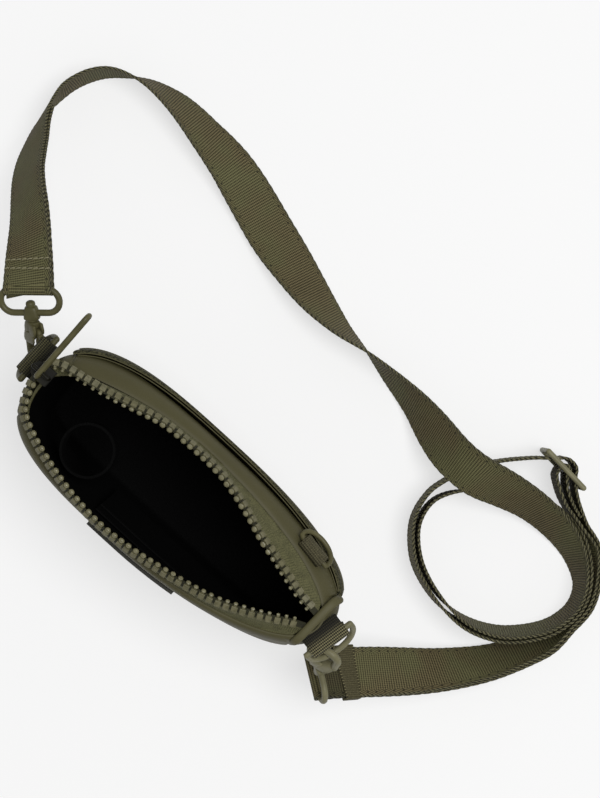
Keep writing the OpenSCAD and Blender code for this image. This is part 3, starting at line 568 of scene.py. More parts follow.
# Zip rows: X and Y shares, height share of the rise, and the rim's angle below the tooth
BACK_ROW = [
    (-0.485, 0.241, 1, 167), (-0.455, 0.322, 1, 159), (-0.388, 0.395, 1, 145), (-0.326, 0.467, 1, 133),
    (-0.264, 0.557, 1, 123), (-0.176, 0.684, 1, 109), (-0.084, 0.717, 1, 95), (0.01, 0.705, 1, 83),
    (0.076, 0.639, 1, 76), (0.1445, 0.536, 1, 68), (0.207, 0.422, 0.95, 61), (0.269, 0.337, 0.8, 53),
    (0.321, 0.256, 0.55, 45), (0.373, 0.181, 0.35, 36), (0.44, 0.127, 0.22, 21)]
FRONT_ROW = [
    (-0.491, -0.085, 1, -179), (-0.487, -0.158, 1, -176), (-0.475, -0.325, 1, -168),
    (-0.453, -0.478, 1, -157), (-0.407, -0.594, 1, -142), (-0.345, -0.703, 1, -127),
    (-0.2385, -0.831, 1, -108), (-0.127, -0.889, 1, -94), (-0.028, -0.861, 1, -87),
    (0.057, -0.792, 1, -77), (0.14, -0.708, 1, -67), (0.218, -0.608, 1, -58),
    (0.288, -0.464, 0.95, -48), (0.354, -0.294, 0.8, -38), (0.401, -0.156, 0.5, -30),
    (0.44, -0.067, 0.22, -20)]
# How steeply a tooth falls outwards, by its share of the length, on the back and front rows
FALLS = {
    1: ((-0.5, 0.2), (-0.36, 0.3), (-0.2, 1.0), (-0.1, 1.5), (0.16, 1.5), (0.3, 0.55), (0.45, 0.25)),
    -1: ((-0.5, 0.9), (-0.4, 1.3), (-0.1, 1.3), (0.1, 0.8), (0.3, 0.45), (0.45, 0.25)),
}


def zip_line(row, reach, step):
    p = np.array([(r[0] * body_len, r[1] * reach, body_h + r[2] * zip_rise, r[3]) for r in row])
    return resample(spline(p, 12), step)


def zip_frames(p, side):
    """Travel, outward and upward directions at each row of a zip line."""
    t = headings(p[:, :3])
    left = unit(np.stack([-t[:, 1], t[:, 0], np.zeros(len(t))], 1))
    fall = np.interp(p[:, 0] / body_len, *np.array(FALLS[side]).T)
    w = square_to(t, unit(side * left - fall[:, None] * vec(0, 0, 1)))
    up = np.cross(t, w) * side
    return t, w, up


def rounded_block(x0, x1, y0, y1, z0, z1, r):
    """Corner points of a chamfered block, as rings along y."""
    def ring(y, s):
        return [(x0 + s, y, z0 + r), (x0 + r, y, z0 + s), (x1 - r, y, z0 + s), (x1 - s, y, z0 + r),
                (x1 - s, y, z1 - r), (x1 - r, y, z1 - s), (x0 + r, y, z1 - s), (x0 + s, y, z1 - r)]

    return [ring(y0, r * 0.75), ring(y0 + r, 0.0), ring(y1 - r, 0.0), ring(y1, r * 0.75)]


HEAD_AT = vec(0, -1.6, 0)


def tooth_shape():
    """One moulded tooth: a stepped pad over the tape with a neck, and a dimpled round head at the mouth."""
    pad = [rounded_block(-1.5, 1.5, -0.4, 2.0, -1.3, 1.3, 0.14)]
    pad.append(rounded_block(-1.35, 1.35, 2.0, 2.9, -1.15, 1.05, 0.14))
    pad.append(rounded_block(-0.7, 0.7, -1.3, -0.3, -0.9, 0.7, 0.15))
    head = []
    for q in np.linspace(-84, 84, 11):
        ring = []
        for b in np.linspace(0, 360, 14, endpoint=False):
            n = vec(cos(q) * cos(b), sin(q), cos(q) * sin(b))
            dip = 0.34 * np.exp(-(((n[0] / 0.55) ** 2 + ((n[1] + 0.35) / 0.3) ** 2))) if n[2] > 0 else 0.0
            ring.append((1.5 * n[0], HEAD_AT[1] + 1.12 * n[1], (1.25 - dip * 1.6) * n[2]))
        head.append(ring)
    return [np.array(block) for block in pad], np.array(head)


def build_teeth(name, row, reach, side, node):
    """A row of teeth, square to the row, whose heads are smaller where the row lies flat."""
    p, s = zip_line(row, reach, 0.25)
    t, w, up = zip_frames(p, side)
    pad, head = tooth_shape()
    pads, heads = [], []
    for k in range(int(s[-1] // tooth_pitch)):
        i = int(np.argmin(np.abs(s - tooth_pitch * (k + 0.5))))
        fall = np.interp(p[i, 0] / body_len, *np.array(FALLS[side]).T)
        share = np.interp(fall, (0.25, 1.0), (0.58, 1.0))
        turned = np.array([t[i], w[i], up[i]])
        pads += [(p[i, :3] + block @ turned, False) for block in pad]
        heads.append((p[i, :3] + (HEAD_AT + (head - HEAD_AT) * share) @ turned, False))
    for label, skins, material in (("pads", pads, TOOTH_PAD), ("heads", heads, TOOTH_HEAD_LIT_COPY)):
        ob = gather(f"{name}_{label}", skins, material, 35)
        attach(ob, "pouch")
        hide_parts(node)


build_teeth("teeth_back", BACK_ROW, body_back, 1, "zip_teeth_back")
build_teeth("teeth_front", FRONT_ROW, body_front, -1, "zip_teeth_front")


# The tape's thickness, its sag, and how far out from the middle of the teeth it lies flat
TAPE_T, TAPE_SAG, TAPE_FLAT = 0.7, 0.5, 2.3


def build_tape(name, row, reach, side, node):
    """The zip's cloth tape, from inside the teeth down to the rim, with a little slack."""
    p, s = zip_line(row, reach, 1.0)
    t, w, _ = zip_frames(p, side)
    foot = body_pt(1.0, p[:, 3], -2.0) - vec(0, 0, 0.9)
    edge = p[:, :3] + TAPE_FLAT * w
    top, uv_top = [p[:, :3] - 0.9 * w], [np.stack([s, np.full(len(s), -1.5)], 1)]
    for q in np.linspace(0, 1, 9):
        top.append(mix(edge, foot, q) - TAPE_SAG * np.sin(math.pi * q) * vec(0, 0, 1))
        uv_top.append(np.stack([s, TAPE_FLAT + q * np.linalg.norm(foot - edge, axis=1)], 1))
    top = np.array(top)
    spread = unit(np.gradient(top, axis=0))
    normal = unit(np.cross(np.broadcast_to(t, top.shape), spread)) * side
    rings = np.concatenate([top + TAPE_T / 2 * normal, (top - TAPE_T / 2 * normal)[::-1]], 0)
    uvs = np.concatenate([uv_top, uv_top[::-1]], 0)
    rings, uvs = np.transpose(rings, (1, 0, 2)), np.transpose(uvs, (1, 0, 2))
    ob = loft(name, rings, TAPE, uvs=uvs, angle=60)
    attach(ob, "pouch")
    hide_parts(node)


TAPE_START = {1: (-0.495, 0.09, 0.9, 178), -1: (-0.4955, 0.03, 0.9, -180.5)}
build_tape("tape_back", [TAPE_START[1]] + BACK_ROW, body_back, 1, "zip_tape_back")
build_tape("tape_front", [TAPE_START[-1]] + FRONT_ROW, body_front, -1, "zip_tape_front")


# Binding sewn over the closed end of the zip
BAND_PATH = [
    (81.4, -12.9, 95.5), (81.7, -12.0, 98.8), (82.0, -9.6, 101.1), (82.2, -4, 102.1), (82.4, 4, 102.3),
    (82.6, 9.8, 102.0), (83.0, 13.4, 101.0), (83.6, 15.4, 99.0), (84.1, 16.2, 96.2), (84.4, 16.4, 93.0),
    (84.5, 16.4, 90.0)]
BAND_HALF_T = 1.5


def build_end_band():
    line = spline(BAND_PATH, 6)
    t = headings(line)
    w = square_to(t, np.tile(vec(1, 0.1, 0), (len(line), 1)))
    n = np.cross(t, w)
    half = np.interp(np.linspace(0, 1, len(line)), (0, 0.15, 0.6, 0.85, 1), (1.7, 2.1, 2.2, 2.3, 1.8))
    section = oval(2.5, 20)
    rings = []
    for c, wide, side, up in zip(line, half, w, n):
        rings.append([c + wide * a * side + BAND_HALF_T * b * up for a, b in section])
    ob = loft("end_binding", rings, NEOPRENE_LIGHT, angle=60)
    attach(ob, "pouch")
    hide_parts("zip_end_band")


build_end_band()


# Back pocket with its hem and three thin pipings
def pocket_slack(z, a):
    """How far the pocket stands off the back, most at the middle of its top."""
    share = (a - seam_a) / (180 - 2 * seam_a)
    return 0.05 + pocket_gap * np.maximum(sin(180 * share), 0) ** 0.6 * (z - 0.08) / 0.82


def pocket_piece(name, zs, thick, material, node):
    a = np.linspace(seam_a, 180 - seam_a, 150)
    outer, inner = [], []
    for i, z in enumerate(zs):
        slack = np.maximum(pocket_slack(z, a), 0.05)
        top = 0.35 if i == len(zs) - 1 else 0
        outer.append(body_pt(z, a, slack + thick - top))
        inner.append(body_pt(z, a, slack + top))
    ob = loft(name, np.transpose(np.array(inner + outer[::-1]), (1, 0, 2)), material, angle=50)
    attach(ob, "pouch")
    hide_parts(node)


def build_pocket():
    pocket_piece("pocket_cloth", np.linspace(0.06, 0.8, 30), pocket_t, NEOPRENE, "back_pocket")
    hem = [0.795, 0.8, 0.81, 0.83, 0.86, 0.885, 0.895, 0.9]
    pocket_piece("pocket_hem", hem, pocket_t, KNIT, "back_pocket_hem")
    b = np.linspace(seam_a + 3, 180 - seam_a - 3, 160)
    for k, (z, off, r) in enumerate(((0.9, 0.3, 0.32), (0.9, -0.9, 0.3), (0.8, 1.5, 0.35))):
        line = body_pt(z, b, np.maximum(pocket_slack(z, b) + off, 0.3))
        ob = loft(f"hem_piping_{k}", tube(line, r, 8), NEOPRENE, angle=60)
        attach(ob, "pouch")


build_pocket()

# Lining: the black cloth inside, its collar below the teeth, and its floor
COLLARS = (("collar_back", BACK_ROW, body_back, 1), ("collar_front", FRONT_ROW, body_front, -1))


def build_lining():
    a = np.linspace(0, 360, 180, endpoint=False)
    off = -wall_t - play
    rings = [body_pt(z, a, off) for z in np.linspace(0.97, 0.045, 26)]
    rings += [body_pt(z, a, off - d) for z, d in ((0.036, 1.0), (0.034, 3.0), (0.034, 12.0))]
    verts = np.array(rings).reshape(-1, 3)
    n, m = len(rings), len(a)
    faces = grid_faces(n, m, closed_m=True) + [tuple((n - 1) * m + k for k in range(m))[::-1]]
    ob = add_mesh("lining_cloth", verts, faces, BLACK, angle=60)
    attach(ob, "pouch")
    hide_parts("lining")
    for name, row, reach, side in COLLARS:
        p, _ = zip_line(row, reach, 2.0)
        _, w, up = zip_frames(p, side)
        top = p[:, :3] + 0.2 * w - 2.0 * up
        foot = body_pt(0.97, p[:, 3], off)
        verts = np.array([mix(top, foot, q) for q in np.linspace(0, 1, 6)])
        ob = add_mesh(name, verts.reshape(-1, 3), grid_faces(6, len(p)), COLLAR_CLOTH, angle=60)
        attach(ob, "pouch")


build_lining()


# CAD pieces that keep their shape and take a material
def paint(names, material):
    for name in names:
        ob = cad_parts[name]
        ob.data.materials.clear()
        ob.data.materials.append(material)
        for polygon in ob.data.polygons:
            polygon.material_index = 0


paint(["zip_puller", "d_ring_left"], METAL)
paint(["d_ring_right", "tri_glide"], METAL_LIT_COPY)
paint(["zip_slider"], METAL_SHADED_COPY)
paint(["card_slot_upper", "card_slot_lower", "elastic_loop"], BLACK)
paint(["front_patch"], RUBBER)
paint(["base_panel"], NEOPRENE)

# Strap: the route's rows are X, Y, lift above lying, and lean, as in the CAD part but for some leans
RUN = [
    (-134.5, 38.5, 79, -61), (-147.5, 50.5, 64.5, -46), (-162, 62, 44.5, -33), (-174.5, 75.5, 23, -27),
    (-184, 91.5, 7, -12), (-186, 105.5, 0.5, 1), (-184, 116.5, 0, 4), (-178.5, 127, 0, 4),
    (-170, 134.5, 0, 0), (-156, 140.5, 0, -14), (-137, 142.5, 0, -31), (-117.5, 140.5, 0, -45),
    (-98, 137.5, 0, -62), (-78.5, 132, 0, -76), (-59.5, 126, 0, -79), (-40, 121, 0, -62),
    (-20.5, 116.5, 0, -43), (-1, 114, 0, -21), (18.5, 114, 0, 0), (35, 112.5, 0, 16),
    (51, 110.5, 3.5, 28), (66.5, 107, 12, 42), (82.5, 104, 23.5, 53), (98, 104.5, 26.5, 57),
    (115, 109, 15.5, 46), (132, 112.5, 7, 38), (149, 112.5, 2.5, 32), (164, 108.5, 0, 22),
    (175, 100.5, 0, 10), (180, 91, 0, 7)]
TURN = [
    (180, 81, 0, 7), (175.5, 69.5, 0, 8), (163, 55.5, 0, 8), (146, 47.5, 0, 4),
    (127.5, 47, 0, -3), (108, 53.5, 0, -4), (94.5, 66.5, 0, -2), (92, 81.5, 0, 0),
    (99.5, 94.5, 0, 2), (111.5, 105, 0, 14), (125, 112, 0, 28)]
TURN_SHARES = [1, 1, 1, 1, 1, 1.1, 1.3, 1.5, 1.6, 1.7, 1.7]
EXIT = [
    (87.5, 79, 0, 0), (88.5, 89.5, 0, 0), (93.5, 103, 0, 0), (101.5, 116, 0, 0),
    (110.5, 126.5, 1.5, 0), (117, 133, 3, 0)]
GLIDE_AT, GLIDE_TURN, GLIDE_LIFT = (129.4, 136.7), -4.2, 3
GLIDE_PATH = [(-7.3, 0), (-3.8, 4.3), (0, 5.3), (3.8, 4.3), (7.2, 0)]
OUTER = [(141.5, 132, 2.5, 0), (148, 127.5, 1.5, 2), (155.5, 123.5, 0.5, 4)]
OUTER_SHARES = [4.2, 3.5, 3.2, 3.2]
LOWER = [
    (184, 68.5, 0, 17), (180, 58.5, 0, 23), (168, 38.5, 2.5, 34), (149.5, 18, 12, 48),
    (128.5, 0, 26.5, 66), (114.5, -11.5, 38, 69)]
SEWN = [(150.5, 123.9, 0.5, -2.5), (145, 126.1, 1, -1), (140, 128.5, 2, 0), (135.5, 131.3, 3, 0)]
LEG = [
    (128, 132, 3, 0), (134, 127.6, 3, 0), (141, 124.3, 1.5, 0), (148.5, 122.3, 0.5, 1.5),
    (156, 120.3, 0, 4)]
DOUBLED_ROWS = 5

# Hooks: yaw and pitch of the aim, roll of the hook, and roll of its ring
LEFT_AIM, RIGHT_AIM = (-43.7, 24, 58, 12), (108.2, -63.9, -12, 125)
# Radius and straight limb of a D-ring, end radius and wire of a hook's ring, and the adjuster's wire
D_R, D_LIMB, EYE_R, EYE_WIRE, GLIDE_D = 12.5, 3.0, 6.05, 3.2, 2.8

# The bars of the D-rings, and the way that each faces
LEFT_BAR, RIGHT_BAR = vec(-95.7, 4.8, 93), vec(93.4, -1, 94)
SPARE_BAR = vec(body_len * 0.329, body_back * 0.762, body_h - 0.1)
LEFT_TURN, RIGHT_TURN, SPARE_TURN = 180, -11.5, 81


def shank_dir(aim):
    return vec(cos(aim[1]) * cos(aim[0]), cos(aim[1]) * sin(aim[0]), -sin(aim[1]))


def cross_dir(aim, roll):
    cr, sr, sp, cp, cy, sy = cos(roll), sin(roll), sin(aim[1]), cos(aim[1]), cos(aim[0]), sin(aim[0])
    return vec(sr * sp * cy - cr * sy, sr * sp * sy + cr * cy, sr * cp)


def eye_bar(bar, turn, lean, phi, aim, reach):
    """The middle of the ring's far bar, by way of the D-ring, where the hook sits on it, and the hook."""
    out = vec(cos(turn), sin(turn), 0)
    along = vec(-sin(turn), cos(turn), 0) * (-1 if cos(turn) < 0 else 1)
    down = sin(lean) * out - cos(lean) * vec(0, 0, 1)
    ring = bar + D_LIMB * down + D_R * (cos(phi) * down + sin(phi) * along)
    return ring - (reach[0] + 2 * EYE_R) * shank_dir(aim) - reach[1] * cross_dir(aim, aim[2])


LEFT_EYE = eye_bar(LEFT_BAR, LEFT_TURN, 22, 6, LEFT_AIM, (19.2, -1))
RIGHT_EYE = eye_bar(RIGHT_BAR, RIGHT_TURN, 30, -25, RIGHT_AIM, (20.9, 0))


# Tabs: webbing folded loosely over each D-ring's bar, in the bar's frame of outwards and up
TAB_PATHS = {
    "left": [(-4.3, 0.8), (-3.0, 2.1), (0, 3.0), (2.5, 2.5), (4.4, 1.0), (5.0, -1.2), (4.0, -3.3),
             (1.6, -4.4), (-1.6, -4.9), (-3.4, -6.4), (-3.7, -9), (-3.7, -12.5)],
    "right": [(-8.6, 5.2), (-6.4, 5.4), (-3.4, 4.3), (0, 3.0), (2.2, 2.1), (3.1, 0), (2.2, -2.2),
              (0, -3.0), (-1.0, -4.6), (-1.5, -7.5), (-1.6, -11)],
    "spare": [(-3.2, -2.4), (-2.9, 0.2), (-1.6, 2.3), (0.6, 2.8), (2.6, 1.5), (3.0, -0.8),
              (2.1, -2.9), (1.0, -4.4)],
}
TAB_T = 1.2


def build_tab(side, bar, turn, width, painted_shade_until, light, contrast, top):
    """A tab with its webbing's look: painted shade up to one place outwards, none from another, and its
    contrast.
    """
    out, along = vec(cos(turn), sin(turn), 0), vec(-sin(turn), cos(turn), 0)
    path = spline([(x, 0, z) for x, z in TAB_PATHS[side]], 6)
    t = headings(path)
    n = np.stack([-t[:, 2], np.zeros(len(t)), t[:, 0]], 1)
    half, h = width / 2, TAB_T / 2
    edge = half - 0.3
    under = [
        (-half, -h / 2), (-edge, -h), (-half / 2, -h), (0, -h), (half / 2, -h), (edge, -h), (half, -h / 2)]
    section = under + [(-y, -z) for y, z in under]
    rings = []
    for q, m in zip(path, n):
        local = np.array([q + vec(0, y, 0) + z * m for y, z in section])
        rings.append(bar + local[:, :1] * out + local[:, 1:2] * along + local[:, 2:] * vec(0, 0, 1))
    at_bar = float(bar @ out)
    material = tab_webbing(f"tab_webbing_{side}", along, out, at_bar + painted_shade_until, at_bar + light, contrast, top)
    ob = loft(f"tab_{side}_webbing", rings, material, angle=50)
    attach(ob, "pouch")
    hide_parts(f"tab_{side}")


# Painted light and shade: each tab's last colour, its top, is lighter or darker by how light falls on it, the
# right tab lit, the left one shaded
build_tab("left", LEFT_BAR, LEFT_TURN, 19.6, -3.0, 4.0, 0.9, (104, 100, 68))
build_tab("right", RIGHT_BAR, RIGHT_TURN, 20, -5.5, 0.0, 1.5, (132, 126, 92))
build_tab("spare", SPARE_BAR, SPARE_TURN, 14, -5.0, -3.0, 0.2, (118, 112, 82))


# Hooks: each has a long ring for the strap, a hook that turns in the ring's collar, and a spring gate
def axes(aim, roll):
    x, y = shank_dir(aim), cross_dir(aim, roll)
    return np.array([x, y, np.cross(x, y)])


def ovals(rows, power=2.6, sides=24):
    """Rings across X, from rows of x, centre y, centre z, half width and half thickness."""
    y, z = oval(power, sides).T
    return np.array([np.stack([np.full(sides, r[0]), r[1] + r[3] * y, r[2] + r[4] * z], 1) for r in rows])


def stadium(half, r):
    """The centre line of a ring with two straight bars across X and two round ends."""
    turn = np.linspace(0, 180, 15)
    ends = [vec(-r + r * cos(a), half - r + r * sin(a), 0) for a in turn]
    ends += [vec(-r + r * cos(a), r - half + r * sin(a), 0) for a in turn + 180]
    return np.array(ends)


EYE_HALF = 14.4
COLLAR_ROWS = [
    (-3.2, 0, 0, 2.5, 2.0), (-2.9, 0, 0, 2.9, 2.3), (-1.5, 0, 0, 3.3, 2.5), (1.4, 0, 0, 3.8, 2.7),
    (2.6, 0, 0, 3.9, 2.7), (3.1, 0, 0, 3.5, 2.5)]
KNOB_ROWS = [
    (-3.25, 0, 0, 2.2, 2.2), (-4.6, 0, 0, 2.3, 2.3), (-5.4, 0, 0, 2.1, 2.1), (-5.9, 0, 0, 1.5, 1.5),
    (-6.05, 0, 0, 0.8, 0.8)]
PIN_ROWS = [(3.15, 0, 0, 2.3, 2.3), (4.6, 0, 0, 2.4, 2.4)]
PLATE_ROWS = [
    (3.9, 0.4, 0, 2.6, 2.2), (4.2, 0.3, 0, 3.6, 2.7), (4.9, -0.2, 0, 4.3, 3.0), (7, -1.3, 0, 4.1, 3.0),
    (9.5, -2.1, 0, 3.8, 2.8), (11, -2.7, 0, 3.6, 2.5), (12, -3.5, 0, 3.1, 2.3), (13, -4.4, 0, 2.7, 2.2),
    (14, -5.0, 0, 2.2, 2.1)]
EAR_ROWS = [
    (4.5, 2.6, 1.8, 1.8, 0.6), (5.0, 3.0, 2.1, 2.6, 0.85), (8.0, 3.3, 2.15, 3.0, 0.9),
    (9.8, 2.9, 2.15, 2.9, 0.85), (10.9, 2.0, 2.05, 2.2, 0.7), (11.4, 1.2, 2.0, 1.3, 0.5)]
CHEEK_ROWS = [
    (10, -1.6, 0.9, 4.2, 2.1), (12, -2.0, 0.9, 3.9, 2.1), (13.4, -2.5, 0.9, 3.4, 2.0),
    (14.3, -3.0, 0.9, 2.6, 1.5)]
SIDE_ROWS = [
    (9.3, 0.2, 2.4, 3.6, 0.6), (11, -0.4, 2.4, 4.9, 0.62), (13.4, -0.7, 2.4, 5.2, 0.6),
    (14.5, -1.1, 2.35, 4.6, 0.5), (15.0, -1.5, 2.3, 3.4, 0.3)]
GATE_ROWS = [
    (7.4, 4.6, 0, 1.5, 0.9), (8.2, 4.9, 0, 1.9, 1.1), (11.9, 5.1, 0, 1.8, 1.1),
    (12.6, 5.1, 0, 1.8, 1.55), (15, 5.1, 0, 1.7, 1.6), (17.7, 5.0, 0, 1.6, 1.6),
    (18.2, 5.0, 0, 1.2, 1.2)]
THUMB_ROWS = [
    (9.0, 7.0, 0, 0.9, 1.1), (9.4, 7.2, 0, 1.3, 1.3), (10.8, 7.2, 0, 1.3, 1.3), (11.6, 6.8, 0, 0.8, 1.0)]
BEND_X, BEND_Y, BEND_R, BEND_WIRE = 20.1, -0.3, 5.3, 1.88


def build_hook(side, bar, aim, cheek, material):
    """The ring, hook and gate of one side, from the ring's far bar and the way that the hook aims."""
    boss = bar + 2 * EYE_R * shank_dir(aim)
    ring = closed_tube(stadium(EYE_HALF, EYE_R), EYE_WIRE / 2)
    bend = [vec(x, BEND_Y - BEND_R, 0) for x in (12.6, 14.5, 17)]
    bend += [vec(BEND_X + BEND_R * sin(a), BEND_Y - BEND_R * cos(a), 0) for a in np.linspace(0, 180, 19)]
    bend.append(vec(18.6, BEND_Y + BEND_R, 0))
    hook = [ovals(KNOB_ROWS, 2), ovals(PIN_ROWS, 2), ovals(PLATE_ROWS, 3)]
    hook.append(tube(np.array(bend), BEND_WIRE, 18))
    for face in (-1, 1):
        hook.append(ovals([(x, y, face * z, w, h) for x, y, z, w, h in EAR_ROWS], 3))
    if cheek:
        hook += [ovals(CHEEK_ROWS, 3), ovals(SIDE_ROWS, 3.4)]
    gate = [ovals(GATE_ROWS, 2.8), ovals(THUMB_ROWS)]
    made = []
    for body, node, skins, roll in (
            ("eye", "hook_eye", [ring, ovals(COLLAR_ROWS, 3.4)], aim[3]),
            ("hook", "hook_body", hook, aim[2]), ("gate", "hook_gate", gate, aim[2])):
        turned = axes(aim, roll)
        placed_skins = [(boss + skin @ turned, skin is ring) for skin in skins]
        ob = gather(f"{body}_{side}_metal", placed_skins, material, 50)
        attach(ob, f"{body}_{side}")
        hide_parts(f"{node}_{side}")
        made.append(ob)
    return made


left_metal = build_hook("left", LEFT_EYE, LEFT_AIM, True, METAL)
right_metal = build_hook("right", RIGHT_EYE, RIGHT_AIM, False, METAL_LIT_COPY)


# The spare D-ring, whose bend is flatter than a half circle
SPARE_LEAN = 46


def build_spare_ring():
    out, along = vec(cos(SPARE_TURN), sin(SPARE_TURN), 0), vec(-sin(SPARE_TURN), cos(SPARE_TURN), 0)
    down = sin(SPARE_LEAN) * out - cos(SPARE_LEAN) * vec(0, 0, 1)
    r = 9.3
    loop = [vec(y, 0) for y in np.linspace(-r, r, 9)[:-1]]
    loop += [vec(r, d) for d in (0.9, 1.9)]
    loop += [vec(r * cos(a), 2.6 + 6.2 * sin(a)) for a in np.linspace(8, 172, 21)]
    loop += [vec(-r, d) for d in (1.9, 0.9)]
    line = np.array([SPARE_BAR + y * along + d * down for y, d in loop])
    ob = gather("d_ring_spare_metal", [(closed_tube(line, 1.2), True)], METAL, 60)
    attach(ob, "ring_spare")
    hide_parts("d_ring_spare")


build_spare_ring()


def lying(lean):
    """The height of the strap's centre where its lower edge lies on the floor, at this lean."""
    return strap_w / 2 * cos(lean) + strap_t / 2 * abs(sin(lean)) + play


def placed(rows):
    return [vec(r[0], r[1], lying(r[3]) + r[2], r[3]) for r in rows]


def glide_rows(path):
    out = []
    for u, v in path:
        x = GLIDE_AT[0] + u * cos(GLIDE_TURN) - v * sin(GLIDE_TURN)
        y = GLIDE_AT[1] + u * sin(GLIDE_TURN) + v * cos(GLIDE_TURN)
        out.append(vec(x, y, lying(0) + GLIDE_LIFT, 0))
    return out


def flat_left(t):
    return unit([-t[1], t[0], 0])


def beside(rows, i, k):
    """A row k layers of strap to the left of row i."""
    t = unit(rows[min(i + 1, len(rows) - 1)][:3] - rows[i - 1][:3])
    o = flat_left(t) * k * pitch / cos(rows[i][3])
    return vec(rows[i][0] + o[0], rows[i][1] + o[1], lying(rows[i][3]), rows[i][3])


def ribbon_rows(rows, k=2):
    """Centre, width direction and travel at each row of a smooth ribbon."""
    p = spline(rows, k)
    t = headings(p[:, :3])
    out = []
    for i in range(len(p)):
        w = square_to(t[i], cos(p[i, 3]) * vec(0, 0, 1) + sin(p[i, 3]) * flat_left(t[i]))
        out.append((p[i, :3], w, t[i]))
    return out


def inside(rib, k):
    """The same ribbon, k layers further in."""
    return [(r[0] + k * pitch * np.cross(r[2], r[1]), r[1], r[2]) for r in rib]


left_wide, right_wide = cross_dir(LEFT_AIM, LEFT_AIM[3]), cross_dir(RIGHT_AIM, RIGHT_AIM[3])
wrap_r = EYE_WIRE / 2 + play + strap_t / 2
left_go = square_to(left_wide, unit(placed(RUN[:1])[0][:3] - LEFT_EYE))
left_face = np.cross(left_go, left_wide)
left_start = LEFT_EYE - wrap_r * left_face
right_come = square_to(right_wide, unit(RIGHT_EYE - placed(LOWER[-1:])[0][:3]))
right_face = np.cross(right_come, right_wide)
right_end = RIGHT_EYE - wrap_r * right_face
base_rows = [vec(*left_start, -math.degrees(math.acos(left_wide[2])))] + placed(RUN) + placed(TURN)
run_n, all_n = len(RUN), len(base_rows)
turn_rows = [beside(base_rows, run_n - 3 + i, k) for i, k in enumerate(TURN_SHARES)] + placed(EXIT)
lower_rows = glide_rows(GLIDE_PATH) + placed(OUTER)
lower_rows += [beside(base_rows, run_n - 2 + i, k) for i, k in enumerate(OUTER_SHARES)]
lower_rows += placed(LOWER) + [vec(*right_end, math.degrees(math.acos(right_wide[2])))]
strand = ribbon_rows(base_rows + turn_rows + lower_rows)
lower_at = 2 * (all_n + len(turn_rows))
run_rib = [(left_start, left_wide, left_go)] + strand[1:2 * all_n - 1]
outer_rib = strand[2 * all_n - 2:lower_at + 1]
lower_rib = strand[lower_at:-1] + [(right_end, right_wide, right_come)]
join_at = 2 * (len(GLIDE_PATH) + len(OUTER) + len(OUTER_SHARES)) - 1
fold_r = GLIDE_D / 2 + play + strap_t / 2
leg = glide_rows([(-fold_r, 0)]) + placed(LEG)
leg += [beside(base_rows, run_n - 2 + i, k - 1) for i, k in enumerate(OUTER_SHARES)]
return_rib = ribbon_rows(leg) + inside(lower_rib[join_at:-2], 1) + inside([lower_rib[-2]], 1.35)
return_rib += [(RIGHT_EYE + wrap_r * right_face, right_wide, right_come)]
BAR_TURNS = [(1, 20), (1, 55), (0, 90), (-1, 55), (-1, 20)]
sewn = placed(SEWN) + glide_rows([(fold_r + 0.05, -1)] + [
    (fold_r * (s * cos(a) if s else 0), fold_r * sin(a)) for s, a in BAR_TURNS])
sewn_rib = ribbon_rows(sewn)


def fold_rows(bar, face, go, wide, steps):
    """A ribbon's rows round a bar, at the given degrees of turn."""
    return [(bar + wrap_r * (sin(a) * go - cos(a) * face), wide, cos(a) * go + sin(a) * face) for a in steps]


LEFT_FOLD = [6, 20, 45, 70, 90, 110, 135, 160, 174]
fold_rib = fold_rows(RIGHT_EYE, right_face, right_come, right_wide, range(0, 181, 15))
doubled_rib = fold_rows(LEFT_EYE, left_face, -left_go, left_wide, LEFT_FOLD)
doubled_rib += inside(run_rib[2:2 * DOUBLED_ROWS + 1], 1)

# The strap is a little narrower near the rings, and its edge is scalloped at the stitches' pitch
RING_SHARE, NEAR = 0.94, 20.0
SCALLOP, ROPE_LIFT = 0.28, 0.08
# Half of the section, as shares of the half width and half thickness
UNDER = [
    (-1, -0.55), (-0.985, -0.95), (-0.9, -0.8), (-0.4, -0.8), (0.4, -0.8), (0.9, -0.8), (0.985, -0.95),
    (1, -0.55)]


def squeeze(c):
    near = np.minimum(np.linalg.norm(c - LEFT_EYE, axis=1), np.linalg.norm(c - RIGHT_EYE, axis=1))
    return mix(RING_SHARE, 1.0, np.minimum(1, near / NEAR))


def ribbon_table(rib):
    return np.array([np.concatenate(row) for row in rib])


def build_ribbon(name, rib, nodes, start=0.0, painted_shade=0.0):
    """Webbing with scalloped selvedges along the rows of a ribbon, with its centre line and length."""
    smooth, s = resample(spline(ribbon_table(rib), 10), 0.7)
    p, t = smooth[:, :3], headings(smooth[:, :3])
    t[0], t[-1] = rib[0][2], rib[-1][2]
    w = square_to(t, smooth[:, 3:6])
    n = np.cross(t, w)
    u = s + start
    hw = strap_w / 2 * squeeze(p) - SCALLOP + SCALLOP * np.abs(np.sin(math.pi * u / STITCH)) ** 0.7
    rope = ROPE_LIFT * np.sin(2 * math.pi * u / ROPE)
    rings, uvs = [], []
    for a, b in UNDER + [(-a, -b) for a, b in UNDER]:
        at_edge = abs(a) > 0.95
        rings.append(p + (a * hw)[:, None] * w + (b * strap_t / 2 + at_edge * rope)[:, None] * n)
        far = strap_w / 2 * abs(a) + at_edge * 0.7 * (1 - b)
        uvs.append(np.stack([u, np.full(len(u), far * np.sign(a))], 1))
    rings, uvs = np.transpose(rings, (1, 0, 2)), np.transpose(uvs, (1, 0, 2))
    # A strand given a shade share gets painted shade over its last stretch, by the keeper
    cloth = webbing(f"{name}_webbing", painted_shade=(u[-1] - 19.5, u[-1] - 17.5, painted_shade)) if painted_shade else WEB
    ob = loft(name, rings, cloth, uvs=uvs, angle=55)
    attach(ob, "pouch")
    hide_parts(*nodes)
    return ob, p, s[-1]


# Light stitches across the folded end at the left hook
STITCH_BOW = ((-1.1, -0.25), (-0.8, 0.12), (0, 0.22), (0.8, 0.12), (1.1, -0.25))


